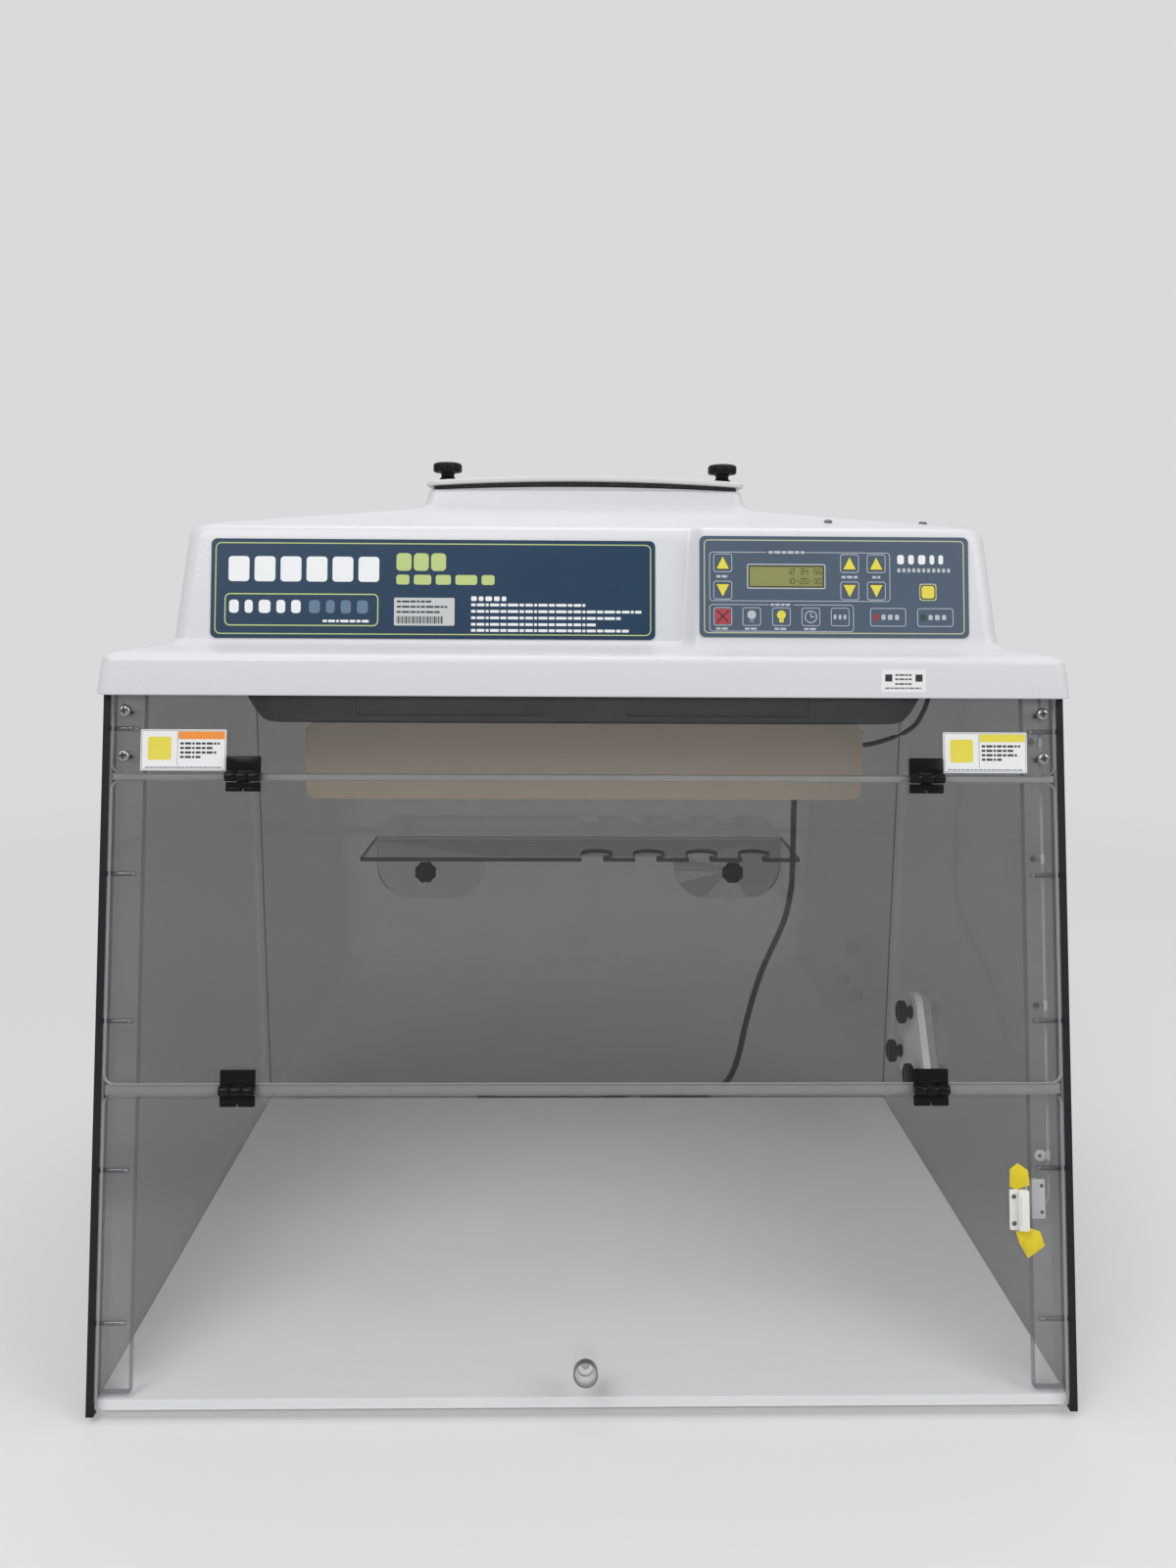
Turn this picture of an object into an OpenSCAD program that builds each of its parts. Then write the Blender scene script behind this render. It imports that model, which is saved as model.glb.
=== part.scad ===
// Bench-top still-air and ultraviolet work cabinet for preparing PCR reactions:
// smoked acrylic enclosure, folding clear front, moulded fan and filter head.

/* [Cabinet] */
// Width over the two side panels
cab_w = 813; // [780:1:840]
// Depth from the front foot of the side panels to the back face
cab_d = 612.4; // [600:0.1:625]
// Thickness of the side and back panels
wall_t = 6.4; // [6:0.1:7]
// Height of the panels' top edges
wall_top = 600; // [598:1:602]
// Angle by which the front leans back
lean = 12.6; // [12.4:0.1:12.8]
// Thickness of the white work surface
base_t = 9.5; // [8:0.5:10]
// Height of the rubber feet
foot_h = 6; // [5:0.5:8]
// Width of the clear strips behind the front panels
strip_w = 26; // [24:1:28]
// Thickness of the clear strips
strip_t = 9.5; // [9:0.5:10]

/* [Folding front] */
// Thickness of the clear front panels
sash_t = 6; // [5.5:0.1:6]
// Distance up the slope to the lower edge of the lower sash
lower_s0 = 2; // [1.5:0.5:4]
// Distance up the slope to the lower hinge line
lower_axis_s = 262.8; // [262:0.1:264]
// Distance up the slope to the upper hinge line
upper_axis_s = 522.6; // [522:0.1:524]
// Rounding of the panels' corners
sash_r = 8; // [4:1:10]
// Gap beside each sash
sash_gap = 0.8; // [0.6:0.1:1.2]
// Diameter of the clear knob on the lower sash
sash_knob_d = 20; // [18:1:22]
// Length of the clear knob
sash_knob_l = 20; // [16:1:20]

/* [Hinges] */
// Width of each hinge
hinge_w = 29; // [28:0.5:30]
// Distance of each hinge from the middle
hinge_x = 288; // [280:1:292]
// Thickness of the hinge leaves
leaf_t = 2.6; // [2.4:0.1:2.8]
// Radius of the hinge knuckles
knuckle_r = 4.2; // [4:0.1:4.3]
// Radius of the hinge pins
pin_r = 1.5; // [1.4:0.05:1.6]

/* [Shelf] */
// Width of the shelf
shelf_w = 508; // [500:1:520]
// Height of the shelf's top face
shelf_z = 366; // [364:1:368]
// Distance of the shelf's front edge behind the front
shelf_front = 475; // [470:1:480]
// Thickness of the bent sheet
shelf_t = 4.8; // [4:0.1:5]
// Pitch of the keyhole slots
slot_pitch = 62; // [60:1:62]
// Radius of the round ends of the slots
slot_r = 19; // [17:1:19.5]
// Distance of the slots' round ends from the front edge
slot_in = 29; // [22:1:32]
// Width of the slots' necks
neck_w = 25; // [22:1:28]

/* [Port] */
// Radius of the pass-through port in the right side panel
port_r = 22; // [18:1:24]
// Thickness of the port cover
port_cover_t = 8; // [6:1:10]

/* [Knobs] */
// Outer radius of the lobed knobs
knob_r = 13.5; // [13:0.5:14]
// Height of the lobed knobs
knob_h = 17; // [16:1:18]
// Radius of the studs that carry the knobs
stud_r = 2; // [1.8:0.1:2.2]

/* [Lights] */
// Width of the lamp housing
light_w = 510; // [500:1:520]
// Height of the lamp housing
light_h = 70; // [66:1:72]
// Depth of the lamp housing
light_d = 105; // [100:1:120]

/* [Head] */
// Width of the head at the skirt's lower edge
skirt_w = 825; // [824:1:828]
// Height of the skirt's lower edge
skirt_z = 584; // [582:1:586]
// Height of the control box's top edge
box_z = 727; // [725:1:729]
// Height of the top of the lid's seat
boss_z = 764; // [762:1:766]
// How far the control bay stands forward
bay_jog = 12; // [8:1:14]
// Thickness of the head's moulding
shell_t = 3.2; // [3:0.1:3.4]

/* [Filter and blower] */
// Width of the main filter
filter_w = 570; // [540:5:575]
// Height of the main filter
filter_h = 46; // [40:1:47]
// Radius of the blower wheel
wheel_r = 92; // [84:1:96]
// Height of the blower wheel
wheel_h = 52; // [40:1:54]
// Number of blower blades
blade_n = 11; // [9:1:13]

/* [Lid] */
// Width of the intake lid
lid_w = 296; // [292:1:298]
// Thickness of the intake lid
lid_t = 4.5; // [4:0.5:5]
// Rise of the lid's arch
lid_rise = 5; // [4:0.5:5]

/* [Power cord] */
// Diameter of the power cord
cord_d = 8; // [7:0.5:8]

/* [Hidden] */

$fn = 64;
// the origin is under the middle of the object, so the front foot lies at -Y
front_y = -304;
inner_x = cab_w/2 - wall_t;
back_in = cab_d - wall_t;
base_top = foot_h + base_t;
base_front = 9.2;
axis_o = knuckle_r + 0.3;
pin_play = 0.06;
knob_play = 0.06;
screw_hole = 2.2;
screw_shank = 2;
screw_x = inner_x - strip_w/2 + 1.4;
panel_screw_s = [540, 578];
side_screw_s = [71, 195, 318, 441, 564];
strip_s0 = 16.4;
strip_s1 = 606;
strip_o = sash_t + 0.2;
cable_x = 393;
panel_s0 = upper_axis_s + 3.1;
panel_s1 = 608;
upper_s0 = lower_axis_s + 4.6;
upper_s1 = upper_axis_s - 3.1;
lower_s1 = lower_axis_s - 4.6;
sash_w = 2*inner_x - 2*sash_gap;
knob_s = 38;
leaf_gap = 0.5;
leaf_s0 = knuckle_r + leaf_gap;
shelf_knob_x = 192.5;
shelf_knob_z = 321.5;
tab_low = 286;
tab_in = 120;
tab_r = 40;
bend_r = 8;
port_knobs = [[471.7, 180.8], [431.3, 118.9], [505, 119.8]];
port_c = [470, 139];
lid_knob_x = 130;
lid_knob_d = [285, 497];
light_front = 204;
light_top = 552;
sheet_t = 1.5;
deck_t = 4;
deck_top = wall_top + deck_t;
tray_z = 552;
tray_lean = atan(1/4);
tray_recess = 1.6;
lid_d0 = 257;
lid_d1 = 525;
boss_w = 288;
lip_w = 268;
lip_rise = 3;
inlet_x = 290;
inlet_d = 613;
inlet_z = 652;
switch_z = 684;
display_x = 173;
display_s = 46;

function back(d) = front_y + d;

// Shared shapes

// places children on the leaning front: x across, y up the slope, z outwards
module on_slope() {
    translate([0, front_y, foot_h])
    rotate([90 - lean, 0, 0])
    children();
}

// a flat outline with true round corners, centred
module round_rect(w, h, r) {
    square([w - 2*r, h], center = true);
    square([w, h - 2*r], center = true);
    for (x = [-1, 1], y = [-1, 1])
        translate([x*(w/2 - r), y*(h/2 - r)])
        circle(r);
}

// a sheet standing on the slope between two distances up it
module slope_sheet(w, s0, s1, t, r, o = 0) {
    translate([0, (s0 + s1)/2, o - t])
    linear_extrude(t)
    round_rect(w, s1 - s0, r);
}

// domed screw with a cross recess, its head's underside at z = 0
module pan_screw(head_r, head_h, length) {
    difference() {
        union() {
            rotate_extrude()
            polygon([[0, 0], [head_r, 0], [head_r, head_h*0.45], [head_r*0.82, head_h*0.85],
                     [head_r*0.5, head_h], [0, head_h]]);
            translate([0, 0, -length])
            cylinder(r = screw_shank, h = length + 0.1);
        }
        for (a = [0, 90])
            rotate(a)
            translate([0, 0, head_h])
            cube([head_r*1.1, head_r*0.24, head_h*1.1], center = true);
    }
}

// moulded knob with finger lobes, a flared neck and a blind hole for its stud
module lobed_knob(r = knob_r, h = knob_h, bore = 13) {
    head_h = h*0.55;
    difference() {
        union() {
            cylinder(r = r*0.58, h = 2.5);
            cylinder(r = r*0.48, h = h - head_h + 1);
            translate([0, 0, h - head_h])
            linear_extrude(head_h - 1.2)
            difference() {
                circle(r);
                for (a = [0:45:315])
                    rotate(a)
                    translate([r*1.2, 0])
                    circle(r*0.32);
            }
            translate([0, 0, h - 1.3])
            cylinder(r1 = r*0.8, r2 = r*0.62, h = 1.3);
        }
        translate([0, 0, -1])
        cylinder(r = stud_r + knob_play, h = bore + 1);
    }
}

function corner(cx, cy, r, a0) = [for (i = [0:6]) [cx + r*cos(a0 + i*15), cy + r*sin(a0 + i*15)]];

// rounded rectangle from depth d0 to d1; right of jog_x its front stands forward by jog
function outline(hw, d0, d1, r, jog = 0, jog_x = 0) = concat(
    corner(-hw + r, back(d0) + r, r, 180),
    [for (t = [0, 0.15, 0.5, 0.85, 1])
        [jog_x - 8 + 14*t, back(d0) - jog*(3*t*t - 2*t*t*t)]],
    corner(hw - r, back(d0) - jog + r, r, 270),
    corner(hw - r, back(d1) - r, r, 0),
    corner(-hw + r, back(d1) - r, r, 90));

// closed skin over a stack of outlines, one for each height
module loft(heights, rings) {
    n = len(rings[0]);
    m = len(rings);
    polyhedron(
        points = [for (k = [0:m - 1]) for (p = rings[k]) [p[0], p[1], heights[k]]],
        faces = concat(
            [[for (i = [0:n - 1]) i]],
            [[for (i = [n - 1:-1:0]) (m - 1)*n + i]],
            [for (k = [0:m - 2]) for (i = [0:n - 1]) [k*n + i, (k + 1)*n + i, (k + 1)*n + (i + 1)%n]],
            [for (k = [0:m - 2]) for (i = [0:n - 1]) [k*n + i, (k + 1)*n + (i + 1)%n, k*n + (i + 1)%n]]));
}

// Enclosure

module base_plate() {
    color("whitesmoke")
    translate([-inner_x, back(base_front), foot_h])
    cube([2*inner_x, back_in - base_front, base_t]);
}

module rubber_feet() {
    color("black")
    for (x = [-1, 1], d = [32, 584])
        translate([x*(inner_x - 24), back(d), 0])
        rotate_extrude()
        polygon([[0, 0], [8, 0], [9.5, foot_h], [0, foot_h]]);
}

// side outline in depth and height, thick in x from zero
module side_sheet() {
    front_top = (wall_top - foot_h)*tan(lean);
    rotate([90, 0, 90])
    linear_extrude(wall_t)
    polygon([[back(0), foot_h], [back(cab_d), foot_h], [back(cab_d), wall_top],
             [back(front_top), wall_top]]);
}

module side_screw_holes(x0, x1, r) {
    on_slope()
    for (s = side_screw_s)
        translate([x0, s, -strip_o - strip_t/2])
        rotate([0, 90, 0])
        cylinder(r = r, h = x1 - x0);
}

module side_panel_left() {
    color("dimgray", 0.55)
    difference() {
        translate([-cab_w/2, 0, 0])
        side_sheet();
        side_screw_holes(-cab_w/2 - 1, -inner_x + 1, screw_hole);
    }
}

module side_panel_right() {
    color("dimgray", 0.55)
    difference() {
        translate([inner_x, 0, 0])
        side_sheet();
        side_screw_holes(inner_x - 1, cab_w/2 + 1, screw_hole);
        translate([inner_x - 1, back(port_c[0]), port_c[1]])
        rotate([0, 90, 0])
        cylinder(r = port_r, h = wall_t + 2);
        for (k = port_knobs)
            translate([inner_x - 1, back(k[0]), k[1]])
            rotate([0, 90, 0])
            cylinder(r = screw_hole, h = wall_t + 2);
    }
}

module back_panel() {
    color("dimgray", 0.55)
    difference() {
        translate([-inner_x, back(back_in), foot_h])
        cube([2*inner_x, wall_t, wall_top - foot_h]);
        for (x = [-1, 1])
            translate([x*shelf_knob_x, back(back_in) - 1, shelf_knob_z])
            rotate([-90, 0, 0])
            cylinder(r = screw_hole, h = wall_t + 2);
    }
}

module front_strips() {
    color("lightgray", 0.4)
    difference() {
        on_slope()
        for (x = [-1, 1])
            translate([x*(inner_x - strip_w/2) - strip_w/2, strip_s0, -strip_o - strip_t])
            cube([strip_w, strip_s1 - strip_s0, strip_t]);
        side_screw_holes(-inner_x - 1, -inner_x + 20, screw_hole);
        side_screw_holes(inner_x - 20, inner_x + 1, screw_hole);
        on_slope()
        for (x = [-1, 1], s = panel_screw_s)
            translate([x*screw_x, s, -strip_o - strip_t - 1])
            cylinder(r = screw_hole, h = strip_t + 2);
    }
}

module side_screws() {
    color("silver")
    on_slope()
    for (m = [0, 1], s = side_screw_s)
        mirror([m, 0, 0])
        translate([cab_w/2, s, -strip_o - strip_t/2])
        rotate([0, 90, 0])
        pan_screw(3.8, 2.2, 22);
}

module upper_front_panel() {
    color("lightgray", 0.35)
    on_slope()
    difference() {
        slope_sheet(sash_w, panel_s0, panel_s1, sash_t, sash_r);
        for (x = [-1, 1], s = panel_screw_s)
            translate([x*screw_x, s, -sash_t - 1])
            cylinder(r = screw_hole, h = sash_t + 2);
    }
}

module panel_screws() {
    color("silver")
    on_slope()
    for (x = [-1, 1], s = panel_screw_s)
        translate([x*screw_x, s, 0])
        pan_screw(5.2, 3, sash_t + 9);
}

// Folding front

module upper_sash() {
    color("lightgray", 0.35)
    on_slope()
    slope_sheet(sash_w, upper_s0, upper_s1, sash_t, sash_r);
}

module lower_sash() {
    color("lightgray", 0.35)
    on_slope()
    difference() {
        slope_sheet(sash_w, lower_s0, lower_s1, sash_t, sash_r);
        translate([0, knob_s, -sash_t - 1])
        cylinder(r = screw_hole, h = sash_t + 2);
    }
}

module sash_knob() {
    r = sash_knob_d/2;
    color("white", 0.6)
    on_slope()
    translate([0, knob_s, 0]) {
        rotate_extrude()
        polygon([[0, 0], [r*0.62, 0], [r*0.62, 4], [r, 7.5], [r, sash_knob_l - 4],
                 [r - 1.2, sash_knob_l - 1.6], [r - 4, sash_knob_l], [0, sash_knob_l]]);
        translate([0, 0, -sash_t - 0.5])
        cylinder(r = screw_shank, h = sash_t + 1);
        translate([0, 0, -sash_t - 2])
        cylinder(r = 4, h = 2);
    }
}

// leaf on the panel's face, reaching away from the axis to reach
module leaf(reach) {
    translate([-hinge_w/2, leaf_s0, 0])
    cube([hinge_w, reach - leaf_s0, leaf_t]);
}

// knuckle from x0 to x1 with the neck that joins it to the leaf
module knuckle(x0, x1, hole) {
    difference() {
        union() {
            translate([x0, 0, axis_o])
            rotate([0, 90, 0])
            cylinder(r = knuckle_r, h = x1 - x0);
            translate([x0, 0, axis_o - knuckle_r])
            cube([x1 - x0, leaf_s0 + 0.1, leaf_t - axis_o + knuckle_r]);
        }
        translate([x0 - 1, 0, axis_o])
        rotate([0, 90, 0])
        cylinder(r = hole, h = x1 - x0 + 2);
    }
}

module hinge_outer_leaf(reach) {
    union() {
        leaf(reach);
        knuckle(-hinge_w/2, -5.2, pin_r);
        knuckle(5.2, hinge_w/2, pin_r);
    }
}

module hinge_inner_leaf(reach) {
    union() {
        leaf(reach);
        knuckle(-5, 5, pin_r + pin_play);
    }
}

module hinge_pins(s) {
    on_slope()
    for (x = [-1, 1])
        translate([x*hinge_x - hinge_w/2, s, axis_o])
        rotate([0, 90, 0])
        cylinder(r = pin_r, h = hinge_w);
}

module at_hinges(s, below) {
    on_slope()
    for (x = [-1, 1])
        translate([x*hinge_x, s, 0])
        mirror([0, below ? 1 : 0, 0])
        children();
}

module upper_hinge_fixed() {
    color("black")
    at_hinges(upper_axis_s, false)
    hinge_outer_leaf(17.5);
}

module upper_hinge_moving() {
    color("black")
    at_hinges(upper_axis_s, true)
    hinge_inner_leaf(12.5);
}

module upper_hinge_pins() {
    color("gray")
    hinge_pins(upper_axis_s);
}

module lower_hinge_fixed() {
    color("black")
    at_hinges(lower_axis_s, false)
    hinge_outer_leaf(17);
}

module lower_hinge_moving() {
    color("black")
    at_hinges(lower_axis_s, true)
    hinge_inner_leaf(13.5);
}

module lower_hinge_pins() {
    color("gray")
    hinge_pins(lower_axis_s);
}

// Sash interlock

// reed housing with a screw flange on one side
module reed_block(flange_side) {
    difference() {
        union() {
            cube([8.5, 33, 6.5], center = true);
            translate([flange_side*7, 0, -2.25])
            cube([7, 33, 2], center = true);
        }
        for (y = [-11, 11])
            translate([flange_side*7.2, y, -4])
            cylinder(r = 1.5, h = 4);
    }
}

module interlock_magnet() {
    color("ivory")
    on_slope()
    translate([363, 164, 3.25])
    reed_block(-1);
}

module interlock_sensor() {
    color("ivory")
    on_slope()
    translate([378.5, 168, -strip_o - strip_t - 3.25])
    rotate([0, 180, 0])
    reed_block(-1);
}

// round cable through hand-placed points
function unit(v) = v/norm(v);
function tangent(p, i) = unit(p[min(i + 1, len(p) - 1)] - p[max(i - 1, 0)]);
function spline(p, i, t) =
    let(a = p[max(i - 1, 0)], b = p[i], c = p[i + 1], d = p[min(i + 2, len(p) - 1)])
    0.5*(2*b + (c - a)*t + (2*a - 5*b + 4*c - d)*t*t + (3*b - a - 3*c + d)*t*t*t);
function smooth_path(p, n) = concat(
    [for (i = [0:len(p) - 2]) for (k = [0:n - 1]) spline(p, i, k/n)],
    [p[len(p) - 1]]);

module cable(path, r, sides) {
    n = len(path);
    polyhedron(
        points = [for (i = [0:n - 1])
            let(t = tangent(path, i),
                ref = abs(t[0]) > 0.9 ? [0, 0, 1] : [1, 0, 0],
                u = unit(cross(t, ref)),
                v = cross(t, u))
            for (k = [0:sides - 1])
                path[i] + r*cos(360*k/sides)*u + r*sin(360*k/sides)*v],
        faces = concat(
            [[for (k = [sides - 1:-1:0]) k]],
            [[for (k = [0:sides - 1]) (n - 1)*sides + k]],
            [for (i = [0:n - 2]) for (k = [0:sides - 1])
                [i*sides + k, i*sides + (k + 1)%sides, (i + 1)*sides + (k + 1)%sides]],
            [for (i = [0:n - 2]) for (k = [0:sides - 1])
                [i*sides + k, (i + 1)*sides + (k + 1)%sides, (i + 1)*sides + k]]));
}

// from the sensor's side round a loop and up the strip into the head
sensor_route = [[382.6, 160, -20.2], [386, 160.4, -20], [390, 163, -19], [392.5, 168, -18.2],
                [cable_x, 176, -17.6], [cable_x, 204, -17.6], [cable_x, 330, -17.6],
                [cable_x, 455, -17.6], [cable_x, 556, -17.6], [cable_x, 590, -17.6],
                [cable_x, 602, -17.6]];

module sensor_cable() {
    color("silver")
    on_slope()
    cable(smooth_path(sensor_route, 2), 1.4, 8);
}

// P-clip round the cable with its screw beside it
module cable_clips() {
    color("lightgray")
    on_slope()
    for (s = [204, 330, 455, 556])
        translate([cable_x, s, -strip_o - strip_t]) {
            translate([0, -4, 0])
            difference() {
                translate([0, 0, -1.9])
                rotate([-90, 0, 0])
                cylinder(r = 2.7, h = 8);
                translate([0, -1, -1.9])
                rotate([-90, 0, 0])
                cylinder(r = 1.5, h = 10);
                translate([-5, -1, 0])
                cube([10, 10, 4]);
            }
            translate([-11, -4, -1.2])
            cube([9.2, 8, 1.2]);
            translate([-8, 0, -3.4])
            cylinder(r = 2.6, h = 2.3);
        }
}

// Shelf

module shelf() {
    color("lightgray", 0.4)
    difference() {
        union() {
            // bent sheet in profile: shelf, bend, back plate
            translate([-shelf_w/2, 0, 0])
            rotate([90, 0, 90])
            linear_extrude(shelf_w)
            union() {
                translate([back(shelf_front), shelf_z - shelf_t])
                square([back_in - bend_r - shelf_front, shelf_t]);
                translate([back(back_in - shelf_t), tab_low])
                square([shelf_t, shelf_z - bend_r - tab_low]);
                translate([back(back_in - bend_r), shelf_z - bend_r])
                intersection() {
                    difference() {
                        circle(bend_r);
                        circle(bend_r - shelf_t);
                    }
                    square(bend_r);
                }
            }
        }
        // keyhole slots open to the front edge
        for (i = [0:3])
            translate([slot_pitch*i, 0, shelf_z - shelf_t - 1])
            linear_extrude(shelf_t + 2)
            union() {
                translate([slot_r, back(shelf_front + slot_in)])
                circle(slot_r);
                translate([1, back(shelf_front) - 1])
                square([neck_w, slot_in + 1]);
            }
        // gap between the two tabs, and the tabs' rounded lower corners
        translate([-tab_in, back(back_in) - 10, tab_low - 1])
        cube([2*tab_in, 12, shelf_z - 26 - tab_low]);
        for (c = [[-shelf_w/2, 1], [-tab_in, -1], [tab_in, 1], [shelf_w/2, -1]])
            translate([c[0] + c[1]*tab_r, back(back_in) + 2, tab_low + tab_r])
            rotate([90, 0, 0])
            linear_extrude(12)
            intersection() {
                difference() {
                    square(2*tab_r + 2, center = true);
                    circle(tab_r);
                }
                translate([c[1] > 0 ? -tab_r - 1 : 0, -tab_r - 1])
                square(tab_r + 1);
            }
        for (x = [-1, 1])
            translate([x*shelf_knob_x, back(back_in) + 1, shelf_knob_z])
            rotate([90, 0, 0])
            cylinder(r = screw_hole, h = shelf_t + 2);
    }
}

module shelf_knob(x) {
    color("black")
    translate([x, back(back_in - shelf_t), shelf_knob_z])
    rotate([90, 0, 0])
    lobed_knob();
}

module shelf_knob_left() {
    shelf_knob(-shelf_knob_x);
}

module shelf_knob_right() {
    shelf_knob(shelf_knob_x);
}

// Side port

module port_cover() {
    color("gainsboro")
    difference() {
        translate([inner_x - port_cover_t, 0, 0])
        rotate([90, 0, 90])
        linear_extrude(port_cover_t)
        hull()
        for (k = port_knobs)
            translate([back(k[0]), k[1]])
            circle(24);
        for (k = port_knobs)
            translate([inner_x - port_cover_t - 1, back(k[0]), k[1]])
            rotate([0, 90, 0])
            cylinder(r = screw_hole, h = port_cover_t + 2);
    }
}

module port_knob(i) {
    color("black")
    translate([inner_x - port_cover_t, back(port_knobs[i][0]), port_knobs[i][1]])
    rotate([0, -90, 0])
    lobed_knob();
}

module port_knob_top() {
    port_knob(0);
}

module port_knob_front() {
    port_knob(1);
}

module port_knob_rear() {
    port_knob(2);
}

// plain stud with a low round head at z = 0, pointing up
module stud(length) {
    union() {
        translate([0, 0, -2])
        cylinder(r = 4.5, h = 2);
        translate([0, 0, -0.1])
        cylinder(r = stud_r, h = length + 0.1);
    }
}

module knob_studs() {
    color("silver") {
        for (x = [-1, 1])
            translate([x*shelf_knob_x, back(cab_d), shelf_knob_z])
            rotate([90, 0, 0])
            stud(wall_t + shelf_t + 11);
        for (k = port_knobs)
            translate([cab_w/2, back(k[0]), k[1]])
            rotate([0, -90, 0])
            stud(wall_t + port_cover_t + 11);
        for (x = [-1, 1], d = lid_knob_d)
            translate([x*lid_knob_x, back(d), boss_z - shell_t])
            stud(lid_base(x*lid_knob_x) + lid_t - boss_z + shell_t + 11);
    }
}

// Lights

module light_outline(inset) {
    w = light_w/2 - inset;
    h = light_h - inset;
    union() {
        translate([-w, 8])
        square([2*w, h - 14]);
        translate([-w + 8, 0])
        square([2*w - 16, h]);
        for (x = [-1, 1])
            translate([x*(w - 8), 8])
            circle(8);
        polygon([[-w, h - 7], [w, h - 7], [w - 7, h], [-w + 7, h]]);
    }
}

module light_housing() {
    color("tan")
    difference() {
        translate([0, back(light_front + light_d), light_top - light_h])
        rotate([90, 0, 0])
        linear_extrude(light_d)
        light_outline(0);
        // folded sheet, open below the lamps
        translate([-light_w/2 + 2, back(light_front + sheet_t), light_top - light_h - 1])
        cube([light_w - 4, light_d - 2*sheet_t, light_h + 1 - sheet_t - 8]);
        translate([light_w/2 - 4, back(228), light_top - 22])
        rotate([0, 90, 0])
        cylinder(r = 2.6, h = 8);
    }
}

// lamp tube between two sockets that hang from the housing's top
module lamp(d, tube_r) {
    socket_x = light_w/2 - 22;
    roof = light_top - sheet_t - 8;
    tube_z = roof - 26;
    translate([0, back(d), 0]) {
        translate([-socket_x, 0, tube_z])
        rotate([0, 90, 0])
        cylinder(r = tube_r, h = 2*socket_x);
        for (x = [-1, 1])
            translate([x*socket_x - 6, -9, tube_z - 12])
            cube([12, 18, roof - tube_z + 12]);
    }
}

module white_lamp() {
    color("white")
    lamp(light_front + 30, 8);
}

module uv_lamp() {
    color("lavender")
    lamp(light_front + 74, 8);
}

// short lead from the lamp housing into the tray beside it
lamp_route = [[254.9, 228, 530], [266, 228, 530.6], [281, 228, 534.5], [299, 228, 541.5],
              [310, 228, 550], [315.5, 228, 560], [319.5, 228, 570], [321, 228, 584], [321, 228, 599.9]];

module lamp_cable() {
    color("black")
    cable(smooth_path([for (p = lamp_route) [p[0], back(p[1]), p[2]]], 2), 2.25, 8);
}

// Head

// outer form from the skirt up over the control box and the roof to the lid's seat:
// height, half width, front, back, corner radius, step of the control bay, place of the step
head_rings = [
    [skirt_z, skirt_w/2, 118.5, 619, 14, 0, 92],
    [skirt_z + 28, skirt_w/2 - 5, 120.8, 618, 13, 0, 92],
    [skirt_z + 32, skirt_w/2 - 7.4, 123, 616.5, 12, 0, 92],
    [skirt_z + 34.5, skirt_w/2 - 12, 127.5, 614, 10, 0, 92],
    [skirt_z + 38, skirt_w/2 - 34, 146, 613, 10, 2, 91],
    [skirt_z + 40, 368, 158.5, 611.5, 12, 7, 90],
    [skirt_z + 42, 363.5, 163.4, 610.8, 14, 11, 90],
    [skirt_z + 45, 361, 166.15, 610, 16, bay_jog, 91],
    [skirt_z + 56, 359.3, 168.5, 609.5, 17, bay_jog, 92],
    [box_z - 12, 350, 184.5, 603, 17, bay_jog, 96],
    [box_z - 7, 348.8, 185.7, 601, 18, bay_jog, 97],
    [box_z - 3, 346.8, 188, 598.5, 18, bay_jog, 97],
    [box_z - 0.5, 343, 191.5, 595.5, 18, bay_jog, 97],
    [box_z + 1.5, 336, 199, 589, 17, 10, 96],
    [box_z + 4, 322, 208, 580, 16, 4, 95],
    [boss_z - 20, 172, 246, 536, 14, 0, 70],
    [boss_z - 17, 155, 255, 527, 12, 0, 70],
    [boss_z - 13, 149.5, 258.5, 523.5, 11, 0, 70],
    [boss_z - 4, 147, 261, 521, 10, 0, 70],
    [boss_z - 1, 145.5, 262.5, 519.5, 9, 0, 70],
    [boss_z, boss_w/2, 264, 518, 8, 0, 70]
];

module head_outside() {
    loft([for (r = head_rings) r[0]],
         [for (r = head_rings) outline(r[1], r[2], r[3], r[4], r[5], r[6])]);
}

// hollow of the upper moulding, above the shoulder that sits on the deck
cavity_rings = [
    [deck_top, skirt_w/2 - 16, 134, 606, 12],
    [skirt_z + 31, skirt_w/2 - 18, 136, 606, 12],
    [skirt_z + 35, 366, 160, 605, 12],
    [skirt_z + 41, 358, 170, 604, 13],
    [box_z - 12, 345, 190, 597, 14],
    [box_z - 4, 338, 198, 590, 14],
    [box_z, 320, 212, 576, 14],
    [boss_z - 24, 166, 252, 530, 12],
    [boss_z - 17, 146, 264, 518, 10],
    [boss_z - shell_t, 141, 267, 515, 8]
];

// low arch standing on the seat, its ends flush with it
module seat_lip(w, t, rise) {
    translate([0, t, 0])
    rotate([90, 0, 0])
    linear_extrude(t)
    polygon(concat([[w/2, 0], [-w/2, 0]],
        [for (x = [-w/2:w/12:w/2 + 0.01]) [x, 0.6 + rise*(1 - pow(2*x/w, 2))]]));
}

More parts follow.
